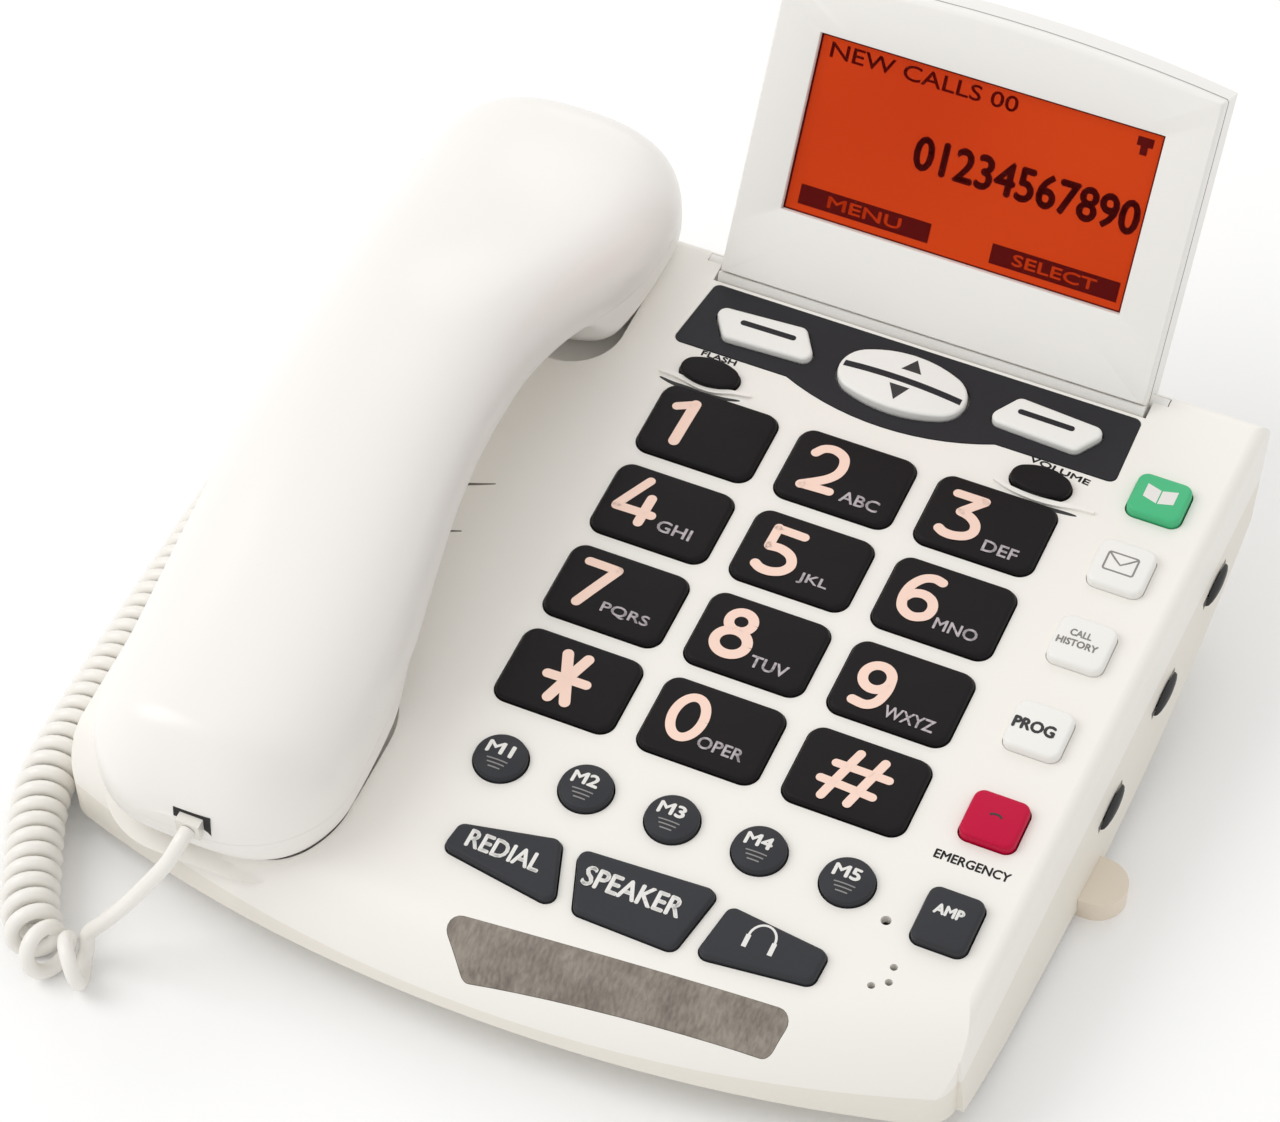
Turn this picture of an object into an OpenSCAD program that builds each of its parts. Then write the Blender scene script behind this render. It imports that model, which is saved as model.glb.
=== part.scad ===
// Corded desk telephone with a tilting display, big keys and a curly handset cord.
// Millimetres, +Z up, +Y to the rear. The key panel slopes up towards the rear.

/* [Base casing] */
// Width of the casing's top at its front end
base_w = 194; // [180:1:210]
// How far each side wall runs outwards over the casing's length
side_flare = 4.3; // [0:0.1:8]
// Outward draft of the side walls, in mm per mm of depth
side_draft = 0.08; // [0:0.01:0.15]
// Distance from the keypad's centre to the front edge's foremost point
front_reach = 109; // [104:1:120]
// Distance from the keypad's centre to the rear edge
rear_reach = 88.5; // [88:0.5:96]
// Radius of the bowed front edge, seen from above
bow_r = 280; // [240:10:400]
// Radius of the rolled front edge, seen from the side
roll_r = 17; // [12:0.5:18]
// Radius of the edge between the top and the side walls
edge_r = 3; // [2:0.25:5]
// Thickness of the moulded walls
wall = 2.4; // [1.6:0.1:3]
// Radius of the curved underside
belly_r = 275; // [260:5:320]
// Depth of the casing at its deepest place
belly_depth = 33.4; // [31:0.2:38]
// Slope of the key panel
slope = 6; // [4:0.5:9]
// Height of the keypad's centre above the table
panel_h = 36.5; // [36:0.5:42]
// Depth of the joint line between the upper and the lower case
split_depth = 12; // [11:0.25:13]

/* [Keys] */
// Spacing of the number keys from side to side
key_pitch_x = 32; // [30:0.5:34]
// Spacing of the number keys up the slope
key_pitch_y = 23.8; // [23:0.1:25]
// Width of a number key
key_w = 26.6; // [22:0.2:28]
// Height of a number key, up the slope
key_h = 19.4; // [16:0.2:20]
// Corner radius of a number key
key_corner_r = 3.2; // [1.5:0.1:5]
// How far a key stands out of the panel
key_rise = 1.8; // [1.6:0.1:4]
// Travel of a pressed key
key_travel = 1.5; // [1:0.1:2]
// Gap between a key and the edge of its hole
key_gap = 0.35; // [0.2:0.05:0.6]
// Radius of a round memory key
memory_r = 5.6; // [4.5:0.1:7]
// Spacing of the memory keys
memory_pitch = 19; // [17:0.25:21]
// Width of a square function key
square_key = 12; // [10:0.25:13]

/* [Display] */
// Width of the display head
display_w = 99.6; // [96:0.2:104]
// Height of the display head above its hinge
display_h = 72.2; // [66:0.2:80]
// Diameter of the display head's hinge barrel
barrel_d = 11; // [10:0.25:12]
// Thickness that the crowned back adds behind the barrel
back_crown = 2.5; // [1:0.25:5]
// Tilt of the display face from the key panel
display_tilt = 57.7; // [40:0.1:68]
// Width of the clear window
window_w = 78.4; // [70:0.2:84]
// Height of the clear window
window_h = 40.4; // [36:0.2:46]
// Height of the window's lower edge above the hinge
window_low = 18.2; // [14:0.1:20]
// Radius of a hinge pin
pin_r = 1.6; // [1.2:0.1:1.8]
// Radial clearance of a hinge pin in its bore
pin_gap = 0.05; // [0.02:0.01:0.1]

/* [Handset] */
// Distance of the handset's centre line from the keypad's centre
handset_x = 88.7; // [87:0.1:95]
// Half width at the ear end
ear_w = 29.6; // [27:0.1:32]
// Half width at the grip
grip_w = 23.5; // [20:0.1:26]
// Half width at the mouth end
mouth_w = 27.8; // [25:0.1:30]
// Reach of the ear end behind the keypad's centre
ear_reach = 98.5; // [96:0.5:104]
// Reach of the mouth end in front of the keypad's centre
mouth_reach = 104.2; // [102:0.1:108]
// Height of the grip's underside above the panel
grip_under = 20; // [16:0.5:24]
// Height of the grip's top above the panel
grip_top = 43.3; // [38:0.1:48]
// Depth of the cradle wells
well_depth = 6; // [4:0.25:7]
// Clearance between the handset and its wells
well_gap = 0.6; // [0.3:0.05:1]
// Wall of the handset's two shells
shell_wall = 2.2; // [1.6:0.1:3]
// Travel of the hook plunger
hook_travel = 4; // [3:0.25:5]

/* [Cord] */
// Diameter of the handset cord's wire
wire_d = 3.3; // [3:0.1:3.6]
// Outer diameter of the curly cord
curl_d = 12.4; // [11.5:0.1:13]
// Number of curls
curls = 63; // [60:1:68]
// Number of flat sides of the wire
wire_sides = 6; // [6:1:8]

/* [Hidden] */
$fn = 48;

body_cx = -23.5;
flare_a = atan(side_flare / 196);
belly_y = -9.7;
rear_lean = 0.667;
hinge_y = 82.7;
hinge_z = -1.25;
hinge_x = 2.2;
notch_gap = 0.8;
notch_half = display_w / 2 + notch_gap;
ear_wall = 5;
floor_z = 2;
tub_x0 = -105;
tub_x1 = 62;
tub_y0 = -56;
tub_y1 = 66;
seam_z = -split_depth;
flange_top = -wall - 0.05;
flange_t = 1;
mat_top = flange_top - flange_t - key_travel - 1.6;
mat_t = 1;
board_t = 1.6;
board_top = mat_top - mat_t;
dome_top = flange_top - flange_t - key_travel - 0.1;
foot_x1 = 86.2;
foot_h = 5;
jack_x = -74;
line_x = -56.5;
power_x = 12;
jack_z = 10.5;
head_back = barrel_d / 2 + back_crown;
ext_left = body_cx - base_w / 2 - 0.903 * side_flare - 22.2 * side_draft;
ext_front = 1.72 - front_reach * cos(slope);
ext_rear = (hinge_y + display_h * cos(display_tilt) + head_back * sin(display_tilt)) * cos(slope)
    - (hinge_z + display_h * sin(display_tilt) - head_back * cos(display_tilt)) * sin(slope);
shift_x = (foot_x1 + ext_left) / 2;
shift_y = (ext_rear + ext_front) / 2;

module on_panel() {
    translate([-shift_x, -shift_y, panel_h]) rotate([slope, 0, 0]) children();
}

module on_table() {
    translate([-shift_x, -shift_y, 0]) children();
}

module on_display() {
    on_panel() translate([hinge_x, hinge_y, hinge_z]) rotate([display_tilt, 0, 0]) children();
}

// ---- outlines -------------------------------------------------------------

function unit2(v) = v / norm(v);

// Centres of the corner circles of a counter-clockwise outline.
function corner_centres(p, r) = [for (i = [0 : len(p) - 1])
    let(n = len(p),
        d1 = unit2(p[(i + n - 1) % n] - p[i]),
        d2 = unit2(p[(i + 1) % n] - p[i]),
        h = acos(d1 * d2) / 2)
    p[i] + unit2(d1 + d2) * r / sin(h)];

function edge_normal(a, b) = let(d = unit2(b - a)) [d.y, -d.x];

// A convex outline with its corners rounded in short steps, grown all round by g.
module rounded_poly(p, r, g) {
    c = corner_centres(p, r);
    n = len(p);
    steps = 6;
    polygon([for (i = [0 : n - 1])
        let(u = edge_normal(p[(i + n - 1) % n], p[i]),
            v = edge_normal(p[i], p[(i + 1) % n]),
            a = atan2(u.y, u.x),
            b = atan2(v.y, v.x),
            e = b < a ? b + 360 : b)
        for (k = [0 : steps]) let(w = a + (e - a) * k / steps) c[i] + (r + g) * [cos(w), sin(w)]]);
}

module rounded_box(w, h, r, g) {
    square([w - 2 * r, h + 2 * g], center = true);
    square([w + 2 * g, h - 2 * r], center = true);
    for (x = [-1, 1], y = [-1, 1]) translate([x * (w / 2 - r), y * (h / 2 - r)]) circle(r + g);
}

// An oval made of four arcs, grown all round by g.
module oval(a, b, r1, g) {
    a1 = a - r1;
    k = b - r1;
    b1 = (a1 * a1 - k * k) / (2 * k);
    big = b1 + b;
    intersection() {
        translate([0, -b1]) circle(big + g, $fn = 96);
        translate([0, b1]) circle(big + g, $fn = 96);
        square([2 * a1 * (big + g) / (big - r1), 4 * b], center = true);
    }
    for (x = [-1, 1]) translate([x * a1, 0]) circle(r1 + g);
}

// ---- casing ---------------------------------------------------------------

// Section through a wall: flat top, rounded edge, wall drafted by d, all set in by t.
module wall_section(t, d, r) {
    s = sqrt(1 + d * d);
    ri = max(r - t, 0.6);
    cx = -(t + ri) * s + d * (t + ri);
    cz = -t - ri;
    polygon([[-320, -t], [cx, -t], [cx + ri / s, cz + ri * d / s], [-t * s + 70 * d, -70], [-320, -70]]);
    translate([cx, cz]) circle(ri);
}

module wall_cut(t, x0, y0, turn, d, r) {
    translate([x0, y0, 0]) rotate([0, 0, turn]) translate([0, 400, 0]) rotate([90, 0, 0])
        linear_extrude(800) wall_section(t, d, r);
}

module front_roll(t) {
    translate([body_cx, -front_reach + bow_r, 0]) rotate_extrude($fn = 180) {
        polygon([[0, -t], [bow_r - roll_r, -t], [bow_r - t, -roll_r], [bow_r - t, -70], [0, -70]]);
        translate([bow_r - roll_r, -roll_r]) intersection() {
            circle(roll_r - t);
            square([roll_r, roll_r]);
        }
    }
}

// Takes the sharp upright corner off where the bowed front meets a side wall.
module corner_cut(t) {
    rc = 8;
    half = base_w / 2 + side_draft * 8;
    wx = half - rc;
    wy = -sqrt(pow(bow_r - rc, 2) - wx * wx);
    far = (bow_r + 40) / (bow_r - rc);
    difference() {
        translate([0, 0, -80]) linear_extrude(100)
            polygon([[wx, wy], [wx * far, wy * far], [wx + 60, wy - 40], [wx + 60, wy]]);
        translate([wx, wy, -90]) cylinder(r = rc - t, h = 120);
    }
}

module casing(t) {
    difference() {
        intersection() {
            wall_cut(t, body_cx + base_w / 2, -front_reach, -flare_a, side_draft, edge_r);
            translate([2 * body_cx, 0, 0]) mirror([1, 0, 0])
                wall_cut(t, body_cx + base_w / 2, -front_reach, -flare_a, side_draft, edge_r);
            wall_cut(t, 0, rear_reach, 90, -rear_lean, edge_r);
            front_roll(t);
            translate([-300, belly_y, belly_r - belly_depth]) rotate([0, 90, 0])
                cylinder(r = belly_r - t, h = 600, $fn = 240);
        }
        translate([body_cx, -front_reach + bow_r, 0]) corner_cut(t);
        translate([body_cx, -front_reach + bow_r, 0]) mirror([1, 0, 0]) corner_cut(t);
    }
}

module above_seam() {
    translate([-300, -200, seam_z]) cube([600, 400, 100]);
}

module below_seam() {
    translate([-300, -200, seam_z - 100]) cube([600, 400, 100]);
}

// Places level, table-based forms inside the sloping panel frame.
module level() {
    rotate([-slope, 0, 0]) translate([0, 0, -panel_h]) children();
}

module ear_well(g, depth) {
    translate([centre_x(ear_reach), ear_y0 + 50, -depth]) linear_extrude(depth + 20)
        rounded_box(2 * ear_well_w, 100, 12, g);
}

module mouth_well(g, depth) {
    translate([centre_x(-mouth_reach), (mouth_y1 + mouth_y0) / 2, -depth]) linear_extrude(depth + 20)
        rounded_box(2 * mouth_well_w, mouth_y1 - mouth_y0, 19, g);
}

ear_well_w = ear_w - 2.2;
ear_y0 = 42;
mouth_well_w = mouth_w - 1.2;
mouth_y1 = -45;
mouth_y0 = 1 - mouth_reach;

module notch_cut() {
    r = barrel_d / 2 + 0.5;
    translate([hinge_x - notch_half, hinge_y, hinge_z]) {
        rotate([0, 90, 0]) cylinder(r = r, h = 2 * notch_half);
        translate([0, -r, 0]) cube([2 * notch_half, 60, 60]);
        translate([0, 0, -r]) cube([2 * notch_half, 60, 60]);
    }
    translate([hinge_x - notch_half - 3.4, hinge_y, hinge_z]) rotate([0, 90, 0])
        cylinder(r = pin_r + pin_gap, h = 2 * notch_half + 6.8);
}

module notch_block() {
    r = barrel_d / 2 + 0.5 + wall;
    half = notch_half + ear_wall;
    translate([hinge_x - half, hinge_y - r, hinge_z - r]) cube([2 * half, 60, 60]);
}

screw_xy = [[-55, -60], [-55, 36], [50.3, -46], [50.3, 46]];
post_xy = [[-16, -24], [16, -24], [-16, 24], [16, 24]];
screw_r = 1.5;
head_z = -22;

// ---- key outlines ---------------------------------------------------------

digit_names = ["key_1", "key_2", "key_3", "key_4", "key_5", "key_6", "key_7", "key_8", "key_9",
               "key_star", "key_0", "key_hash"];
redial_pts = [[-37.9, -83.5], [-11.4, -87.6], [-16.5, -72.5], [-37.0, -77.0]];
speaker_pts = [[-7.6, -87.2], [14.4, -87.75], [17.4, -71.3], [-12.6, -73.0]];
headset_pts = [[18.5, -87.0], [42.5, -84.2], [42.8, -76.2], [20.6, -73.6]];
soft_pts = [[-39.5, 61.2], [-18.0, 62.2], [-23.4, 70.7], [-44.7, 69.2]];
panel_pts = [[-49.7, 57.4], [52.8, 57.4], [52.4, 75.8], [-47.2, 75.8]];
panel_cx = 1.5;
rocker_c = [1.5, 64.4];
oval_c = [[-38, 50.9], [38.6, 50.9]];
lip = 0.6;
rocker_pivot_z = mat_top + 1.15;
column = [[63.4, 56.0], [62.4, 35.8], [61.8, 13.8], [61.4, -10], [61.2, -34.2], [61.4, -60.1]];
lens_pts = [[-23.0, -106.1], [39.4, -98.8], [41.8, -90.2], [-32.6, -96.4]];

function digit_xy(i) = [((i % 3) - 1) * key_pitch_x, (1.5 - floor(i / 3)) * key_pitch_y];

module digit_shape(g) {
    rounded_box(key_w, key_h, key_corner_r, g);
}

module soft_shape(side, g) {
    if (side < 0) rounded_poly(soft_pts, 2, g);
    else translate([2 * panel_cx, 0]) mirror([1, 0]) rounded_poly(soft_pts, 2, g);
}

module column_shape(i, g) {
    w = i == 5 ? square_key - 0.2 : square_key;
    h = i == 0 ? square_key - 1 : i == 5 ? square_key + 1.6 : square_key;
    rounded_box(w, h, 2.2, g);
}

module rocker_shape(g) {
    oval(14.7, 7.85, 6.2, g);
}

module small_oval(g) {
    oval(6.75, 3.75, 2.9, g);
}

module key_holes() {
    for (i = [0 : 11]) translate(digit_xy(i)) digit_shape(key_gap);
    for (i = [0 : 4]) translate(memory_xy(i)) circle(memory_r + key_gap);
    rounded_poly(redial_pts, 2, key_gap);
    rounded_poly(speaker_pts, 2, key_gap);
    rounded_poly(headset_pts, 2, key_gap);
    for (i = [0 : 5]) translate(column[i]) column_shape(i, key_gap);
    for (c = oval_c) translate(c) small_oval(key_gap);
    panel_holes();
}

module panel_holes() {
    soft_shape(-1, key_gap);
    soft_shape(1, key_gap);
    translate(rocker_c) rocker_shape(0.5);
}

function memory_xy(i) = [1.6 + (i - 2) * memory_pitch, -59.1];

module panel_shape(g) {
    rounded_poly(panel_pts, 1.6, g);
    intersection() {
        translate([panel_cx, 112.3]) circle(60 + g, $fn = 120);
        translate([panel_cx, 60]) square([60, 30], center = true);
    }
}

// ---- fixed parts of the base ---------------------------------------------

module upper_case() {
    color([0.93, 0.92, 0.9]) on_panel() difference() {
        union() {
            difference() {
                intersection() { casing(0); above_seam(); }
                casing(wall);
            }
            intersection() {
                casing(0);
                above_seam();
                union() {
                    ear_well(wall, well_depth + wall);
                    mouth_well(wall, well_depth + wall);
                    notch_block();
                }
            }
            for (p = screw_xy) translate([p.x, p.y, seam_z]) cylinder(r = 3.4, h = -seam_z - 1);
            for (p = post_xy) translate([p.x, p.y, board_top]) cylinder(r = 2.2, h = -board_top - 1);
        }
        ear_well(0, well_depth);
        mouth_well(0, well_depth);
        notch_cut();
        translate([0, 0, -5.5]) linear_extrude(8) key_holes();
        translate([0, 0, -1]) linear_extrude(8) panel_shape(0.15);
        translate([0, 0, -14]) linear_extrude(30) rounded_poly(lens_pts, 2.5, 0.1);
        for (p = screw_xy) translate([p.x, p.y, seam_z - 1]) cylinder(r = screw_r + 0.05, h = 9);
        translate([49.9, -64.1, -5]) cylinder(r = 1.1, h = 8);
        for (p = [[52.9, -79.2], [55.8, -77.2], [55.4, -73.6]]) translate([p.x, p.y, -8])
            cylinder(r = 0.8, h = 12);
        level() translate([-hook_x, hook_y, 20]) cylinder(r = hook_r + 0.3, h = 30);
    }
}

module soft_key_panel() {
    color([0.12, 0.12, 0.14]) on_panel() translate([0, 0, -1]) linear_extrude(1.2) difference() {
        panel_shape(0);
        panel_holes();
    }
}

module ring_lens() {
    color([0.45, 0.42, 0.4]) on_panel() intersection() {
        difference() { casing(0); casing(wall); }
        translate([0, 0, seam_z + 0.1]) linear_extrude(30) rounded_poly(lens_pts, 2.5, 0);
    }
}

module tub(g, z0) {
    translate([(tub_x0 + tub_x1) / 2, (tub_y0 + tub_y1) / 2, z0]) linear_extrude(40)
        rounded_box(tub_x1 - tub_x0, tub_y1 - tub_y0, 9, -g);
}

module floor_space(z0) {
    translate([-300, -300, z0]) cube([600, 600, 100]);
}

feet_xy = [[-94, -44], [34, -46], [-94, 54], [34, 56]];
stud_gap = 100;
stud_xy = [[body_cx, -48], [body_cx, -48 + stud_gap]];
stud_entry_r = 4.8;
tab_y = -16.5;
tab_w = 13;
spk_xy = [20, -8];

module foot_shape(g) {
    translate([foot_x1 - tab_w / 2, tab_y]) circle(tab_w / 2 + g);
    translate([57 - g, tab_y - tab_w / 2 - g]) square([foot_x1 - tab_w / 2 - 57 + g, tab_w + 2 * g]);
}

module lower_case() {
    color([0.9, 0.89, 0.87]) on_panel() difference() {
        union() {
            difference() {
                intersection() {
                    union() { casing(0); level() tub(0, floor_z - 1); }
                    below_seam();
                    level() floor_space(floor_z);
                }
                intersection() {
                    union() { casing(wall); level() tub(wall, floor_z); }
                    level() floor_space(floor_z + wall);
                }
            }
            intersection() {
                casing(0);
                below_seam();
                level() translate([54, tab_y - tab_w / 2 - wall, floor_z])
                    cube([60, tab_w + 2 * wall, foot_h + wall - floor_z + 0.1]);
            }
            intersection() {
                for (p = screw_xy) translate([p.x, p.y, -60]) cylinder(r = 5.2, h = 60 + seam_z);
                level() floor_space(floor_z + 0.5);
            }
            level() translate([-hook_x, hook_y, floor_z + 0.5])
                cylinder(r = 6.5, h = spring_z0 - floor_z - 0.5);
            for (p = slider_yz) slider_rail(p);
        }
        for (p = screw_xy) translate([p.x, p.y, 0]) {
            translate([0, 0, -70]) cylinder(r = 3.3, h = 70 + head_z);
            translate([0, 0, -40]) cylinder(r = screw_r + 0.15, h = 50);
        }
        for (p = slider_yz) slider_slot(p);
        level() {
            translate([0, 0, -1]) linear_extrude(foot_h + 1.05) foot_shape(0.15);
            for (p = feet_xy) translate([p.x, p.y, floor_z - 1]) cylinder(r = 6.1, h = 2);
            for (p = stud_xy) {
                translate([p.x, p.y, 0]) cylinder(r = stud_entry_r, h = 8);
                translate([p.x, p.y + 9, 0]) cylinder(r = 2.3, h = 8);
                translate([p.x - 2.3, p.y, 0]) cube([4.6, 9, 8]);
            }
            for (k = [-2 : 2]) translate([spk_xy.x - 14, spk_xy.y + k * 7 - 1.4, 0]) cube([28, 2.8, 8]);
            translate([jack_x, 60, jack_z]) cube([8.2, 30, 7.2], center = true);
            translate([line_x, 60, jack_z]) cube([10.2, 30, 7.2], center = true);
            translate([power_x, 55, jack_z]) rotate([-90, 0, 0]) cylinder(r = 3.6, h = 20);
        }
    }
}

module side_foot() {
    color([0.82, 0.72, 0.62]) on_table() linear_extrude(foot_h) foot_shape(0);
}

module rubber_feet() {
    color([0.2, 0.2, 0.2]) on_table() for (p = feet_xy) translate([p.x, p.y, 0])
        cylinder(r = 6, h = floor_z + 0.95);
}

module main_board() {
    color([0.15, 0.4, 0.25]) on_panel() translate([0, 0, board_top - board_t])
        linear_extrude(board_t) board_shape(0);
}

module board_shape(g) {
    difference() {
        union() {
            translate([-48, -80]) square([118, 152]);
            translate([-48, -89]) square([96, 20]);
        }
        for (p = screw_xy) translate(p) circle(3.8);
        if (g > 0) for (p = post_xy) translate(p) circle(2.4);
    }
}

module keypad_mat() {
    color([0.55, 0.55, 0.58]) on_panel() {
        translate([0, 0, board_top]) linear_extrude(mat_t) board_shape(1);
        translate([0, 0, board_top + 0.5]) linear_extrude(dome_top - board_top - 0.5) {
            for (i = [0 : 11]) translate(digit_xy(i)) circle(4.5);
            for (i = [0 : 4]) translate(memory_xy(i)) circle(3.5);
            for (p = [[-25.5, -80], [2.6, -79.6], [31, -80.2]]) translate(p) circle(3.5);
            for (p = column) translate(p) circle(3.5);
            for (p = oval_c) translate(p) circle(2.4);
            for (x = [-31.4, 34.4]) translate([x, 66]) circle(2.8);
        }
        translate([rocker_c.x, rocker_c.y, board_top + 0.5]) for (y = [-1, 1])
            translate([0, y * 5, 0]) cylinder(r = 1.6, h = flange_top - flange_t - 1.15 - board_top - 0.5);
    }
}

module loudspeaker() {
    color([0.3, 0.3, 0.32]) on_table() translate([spk_xy.x, spk_xy.y, floor_z + wall]) {
        cylinder(r = 25, h = 3);
        cylinder(r = 19, h = 6);
        cylinder(r = 12, h = 13);
    }
}

module modular_jacks() {
    color([0.75, 0.75, 0.72]) on_table() difference() {
        translate([jack_x - 8, tub_y1 - wall - 15, floor_z + wall]) cube([line_x - jack_x + 15.5, 15, 13]);
        translate([jack_x, 60, jack_z]) cube([8.2, 18, 7.2], center = true);
        translate([line_x, 60, jack_z]) cube([10.2, 18, 7.2], center = true);
    }
}

module power_jack() {
    color([0.12, 0.12, 0.12]) on_table() {
        difference() {
            translate([power_x - 5.5, tub_y1 - wall - 13, floor_z + wall]) cube([11, 13, 12]);
            translate([power_x, tub_y1 - 10, jack_z]) rotate([-90, 0, 0]) cylinder(r = 3.2, h = 20);
        }
        translate([power_x, tub_y1 - 11, jack_z]) rotate([-90, 0, 0]) cylinder(r = 1, h = 7.5);
    }
}

module case_screws() {
    color([0.6, 0.6, 0.62]) on_panel() for (p = screw_xy) translate([p.x, p.y, 0]) {
        translate([0, 0, head_z - 2.4]) cylinder(r = 3, h = 2.4);
        translate([0, 0, head_z - 0.5]) cylinder(r = screw_r, h = -head_z - 4.3);
    }
}

// ---- display --------------------------------------------------------------

module head_outline(g) {
    intersection() {
        translate([-display_w / 2 - g, 0]) square([display_w + 2 * g, display_h + g]);
        translate([0, display_h - 420]) circle(420 + g, $fn = 240);
    }
}

module head_body(g) {
    hb = barrel_d / 2;
    ball = (pow(display_w / 2, 2) + pow(back_crown, 2)) / (2 * back_crown);
    intersection() {
        translate([0, 0, -hb - back_crown]) linear_extrude(2 * hb + back_crown) head_outline(-g);
        translate([0, -20, ball - hb - back_crown]) rotate([-90, 0, 0]) cylinder(r = ball - g, h = 120, $fn = 240);
    }
}

front_t = 3;

module display_front() {
    hb = barrel_d / 2;
    color([0.94, 0.93, 0.91]) on_display() difference() {
        translate([0, 0, hb - front_t]) linear_extrude(front_t) head_outline(0);
        translate([-window_w / 2, window_low, hb - 1.2]) cube([window_w, window_h, 5]);
        translate([-window_w / 2 + 2.2, window_low + 2.2, 0]) cube([window_w - 4.4, window_h - 4.4, 10]);
    }
}

module display_lens() {
    hb = barrel_d / 2;
    color([0.85, 0.8, 0.78, 0.5]) on_display()
        translate([-window_w / 2 + 0.1, window_low + 0.1, hb - 1.2]) cube([window_w - 0.2, window_h - 0.2, 1]);
}

module lcd_panel() {
    hb = barrel_d / 2;
    color([0.78, 0.25, 0.12]) on_display()
        translate([-window_w / 2 + 1, window_low + 1, hb - front_t - 2.2]) cube([window_w - 2, window_h - 2, 2.2]);
}

module display_back() {
    hb = barrel_d / 2;
    color([0.92, 0.91, 0.89]) on_display() {
        difference() {
            union() {
                intersection() {
                    head_body(0);
                    translate([-100, 0, -30]) cube([200, 200, 30 + hb - front_t]);
                }
                translate([-display_w / 2, 0, 0]) rotate([0, 90, 0]) cylinder(r = hb, h = display_w);
            }
            translate([-100, 0, hb - front_t]) cube([200, 200, 30]);
            intersection() {
                head_body(2);
                translate([-display_w / 2 + 2, hb + 1, -30]) cube([display_w - 4, 200, 60]);
            }
        }
        translate([-notch_half - 3.2, 0, 0]) rotate([0, 90, 0]) cylinder(r = pin_r, h = 2 * notch_half + 6.4);
    }
}

// ---- keys -----------------------------------------------------------------

// A key: crowned cap through the case, with a flange under the case. children: cap, flange.
module key_form(c, rise, ball) {
    intersection() {
        translate([0, 0, flange_top - 0.5]) linear_extrude(rise - flange_top + 2) children(0);
        translate([c.x, c.y, rise - ball]) sphere(ball, $fn = 180);
    }
    translate([0, 0, flange_top - flange_t]) linear_extrude(flange_t) children(1);
}

module digit_key(i) {
    color([0.1, 0.1, 0.11]) on_panel() translate([digit_xy(i).x, digit_xy(i).y, 0])
        key_form([0, 0], key_rise, 230) { digit_shape(0); digit_shape(lip); }
}

module memory_key(i) {
    color([0.3, 0.3, 0.31]) on_panel() translate([memory_xy(i).x, memory_xy(i).y, 0])
        key_form([0, 0], key_rise + 0.6, 15) { circle(memory_r); circle(memory_r + 1); }
}

// A key of free outline, crowned from front to rear only.
module bar_key(cy, rise, ball) {
    intersection() {
        translate([0, 0, flange_top - 0.5]) linear_extrude(rise - flange_top + 2) children(0);
        translate([-100, cy, rise - ball]) rotate([0, 90, 0]) cylinder(r = ball, h = 200, $fn = 240);
    }
    translate([0, 0, flange_top - flange_t]) linear_extrude(flange_t) children(1);
}

module poly_key(pts, cy) {
    color([0.3, 0.3, 0.31]) on_panel()
        bar_key(cy, key_rise, 120) { rounded_poly(pts, 2, 0); rounded_poly(pts, 2, 0.9); }
}

module column_key(i, tone) {
    color(tone) on_panel() translate([column[i].x, column[i].y, 0])
        key_form([0, 0], key_rise + 0.6, 90) { column_shape(i, 0); column_shape(i, 1); }
}

module soft_key(side) {
    color([0.93, 0.92, 0.9]) on_panel()
        bar_key(66, key_rise, 90) { soft_shape(side, 0); soft_shape(side, 0.9); }
}

module oval_key(i) {
    color([0.14, 0.14, 0.15]) on_panel() translate([oval_c[i].x, oval_c[i].y, 0])
        key_form([0, 0], 2, 60) { small_oval(0); small_oval(lip); }
}

module navigation_rocker() {
    color([0.93, 0.92, 0.9]) on_panel() translate([rocker_c.x, rocker_c.y, 0]) {
        intersection() {
            translate([0, 0, flange_top - 1]) linear_extrude(6) rocker_shape(0);
            translate([0, 0, 2.6 - 90]) sphere(90, $fn = 180);
        }
        translate([0, 0, flange_top - 0.55 - flange_t]) linear_extrude(flange_t) rocker_shape(0.9);
        translate([-6, 0, rocker_pivot_z]) rotate([0, 90, 0]) cylinder(r = 1, h = 12);
        translate([-6, -1, rocker_pivot_z]) cube([12, 2, flange_top - 1 - rocker_pivot_z]);
    }
}

// ---- sliders in the right-hand wall ---------------------------------------

slider_yz = [[52.7, -16.6], [22.6, -18.3], [-7.5, -20.2]];
slider_travel = 6;
knob_l = 13.5;
knob_w = 4;

function wall_x(y, z) = body_cx + base_w / 2 + (y + front_reach) * tan(flare_a) - side_draft * z;

module in_wall(p) {
    translate([wall_x(p.x, p.y), p.x, p.y]) rotate([0, 0, -flare_a]) children();
}

module slider_slot(p) {
    in_wall(p) cube([14, knob_l + slider_travel - 6, 2], center = true);
}

module slider_rail(p) {
    intersection() {
        in_wall(p) translate([-wall - 0.45, 0, 0])
            cube([1.9, knob_l + slider_travel + 1, 6.4], center = true);
        casing(0);
        below_seam();
    }
}

module slider_knob(i) {
    color([0.1, 0.1, 0.1]) on_panel() in_wall(slider_yz[i]) {
        translate([0.25, -knob_l / 2, -knob_w / 2]) cube([1.4, knob_l, knob_w]);
        translate([-wall - 2.7, -3.4, -0.85]) cube([wall + 3.5, 6.8, 1.7]);
        translate([-wall - 2.7, -5, -2]) cube([1.1, 10, 4]);
    }
}

// ---- hook -----------------------------------------------------------------

hook_x = handset_x + 0.8;
hook_y = 58;
hook_r = 4.5;
hook_top = panel_h + hook_y * sin(slope) + (0.3 - well_depth) * cos(slope) - 0.24;
spring_z1 = 27.2;
spring_z0 = 17.4;

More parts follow.
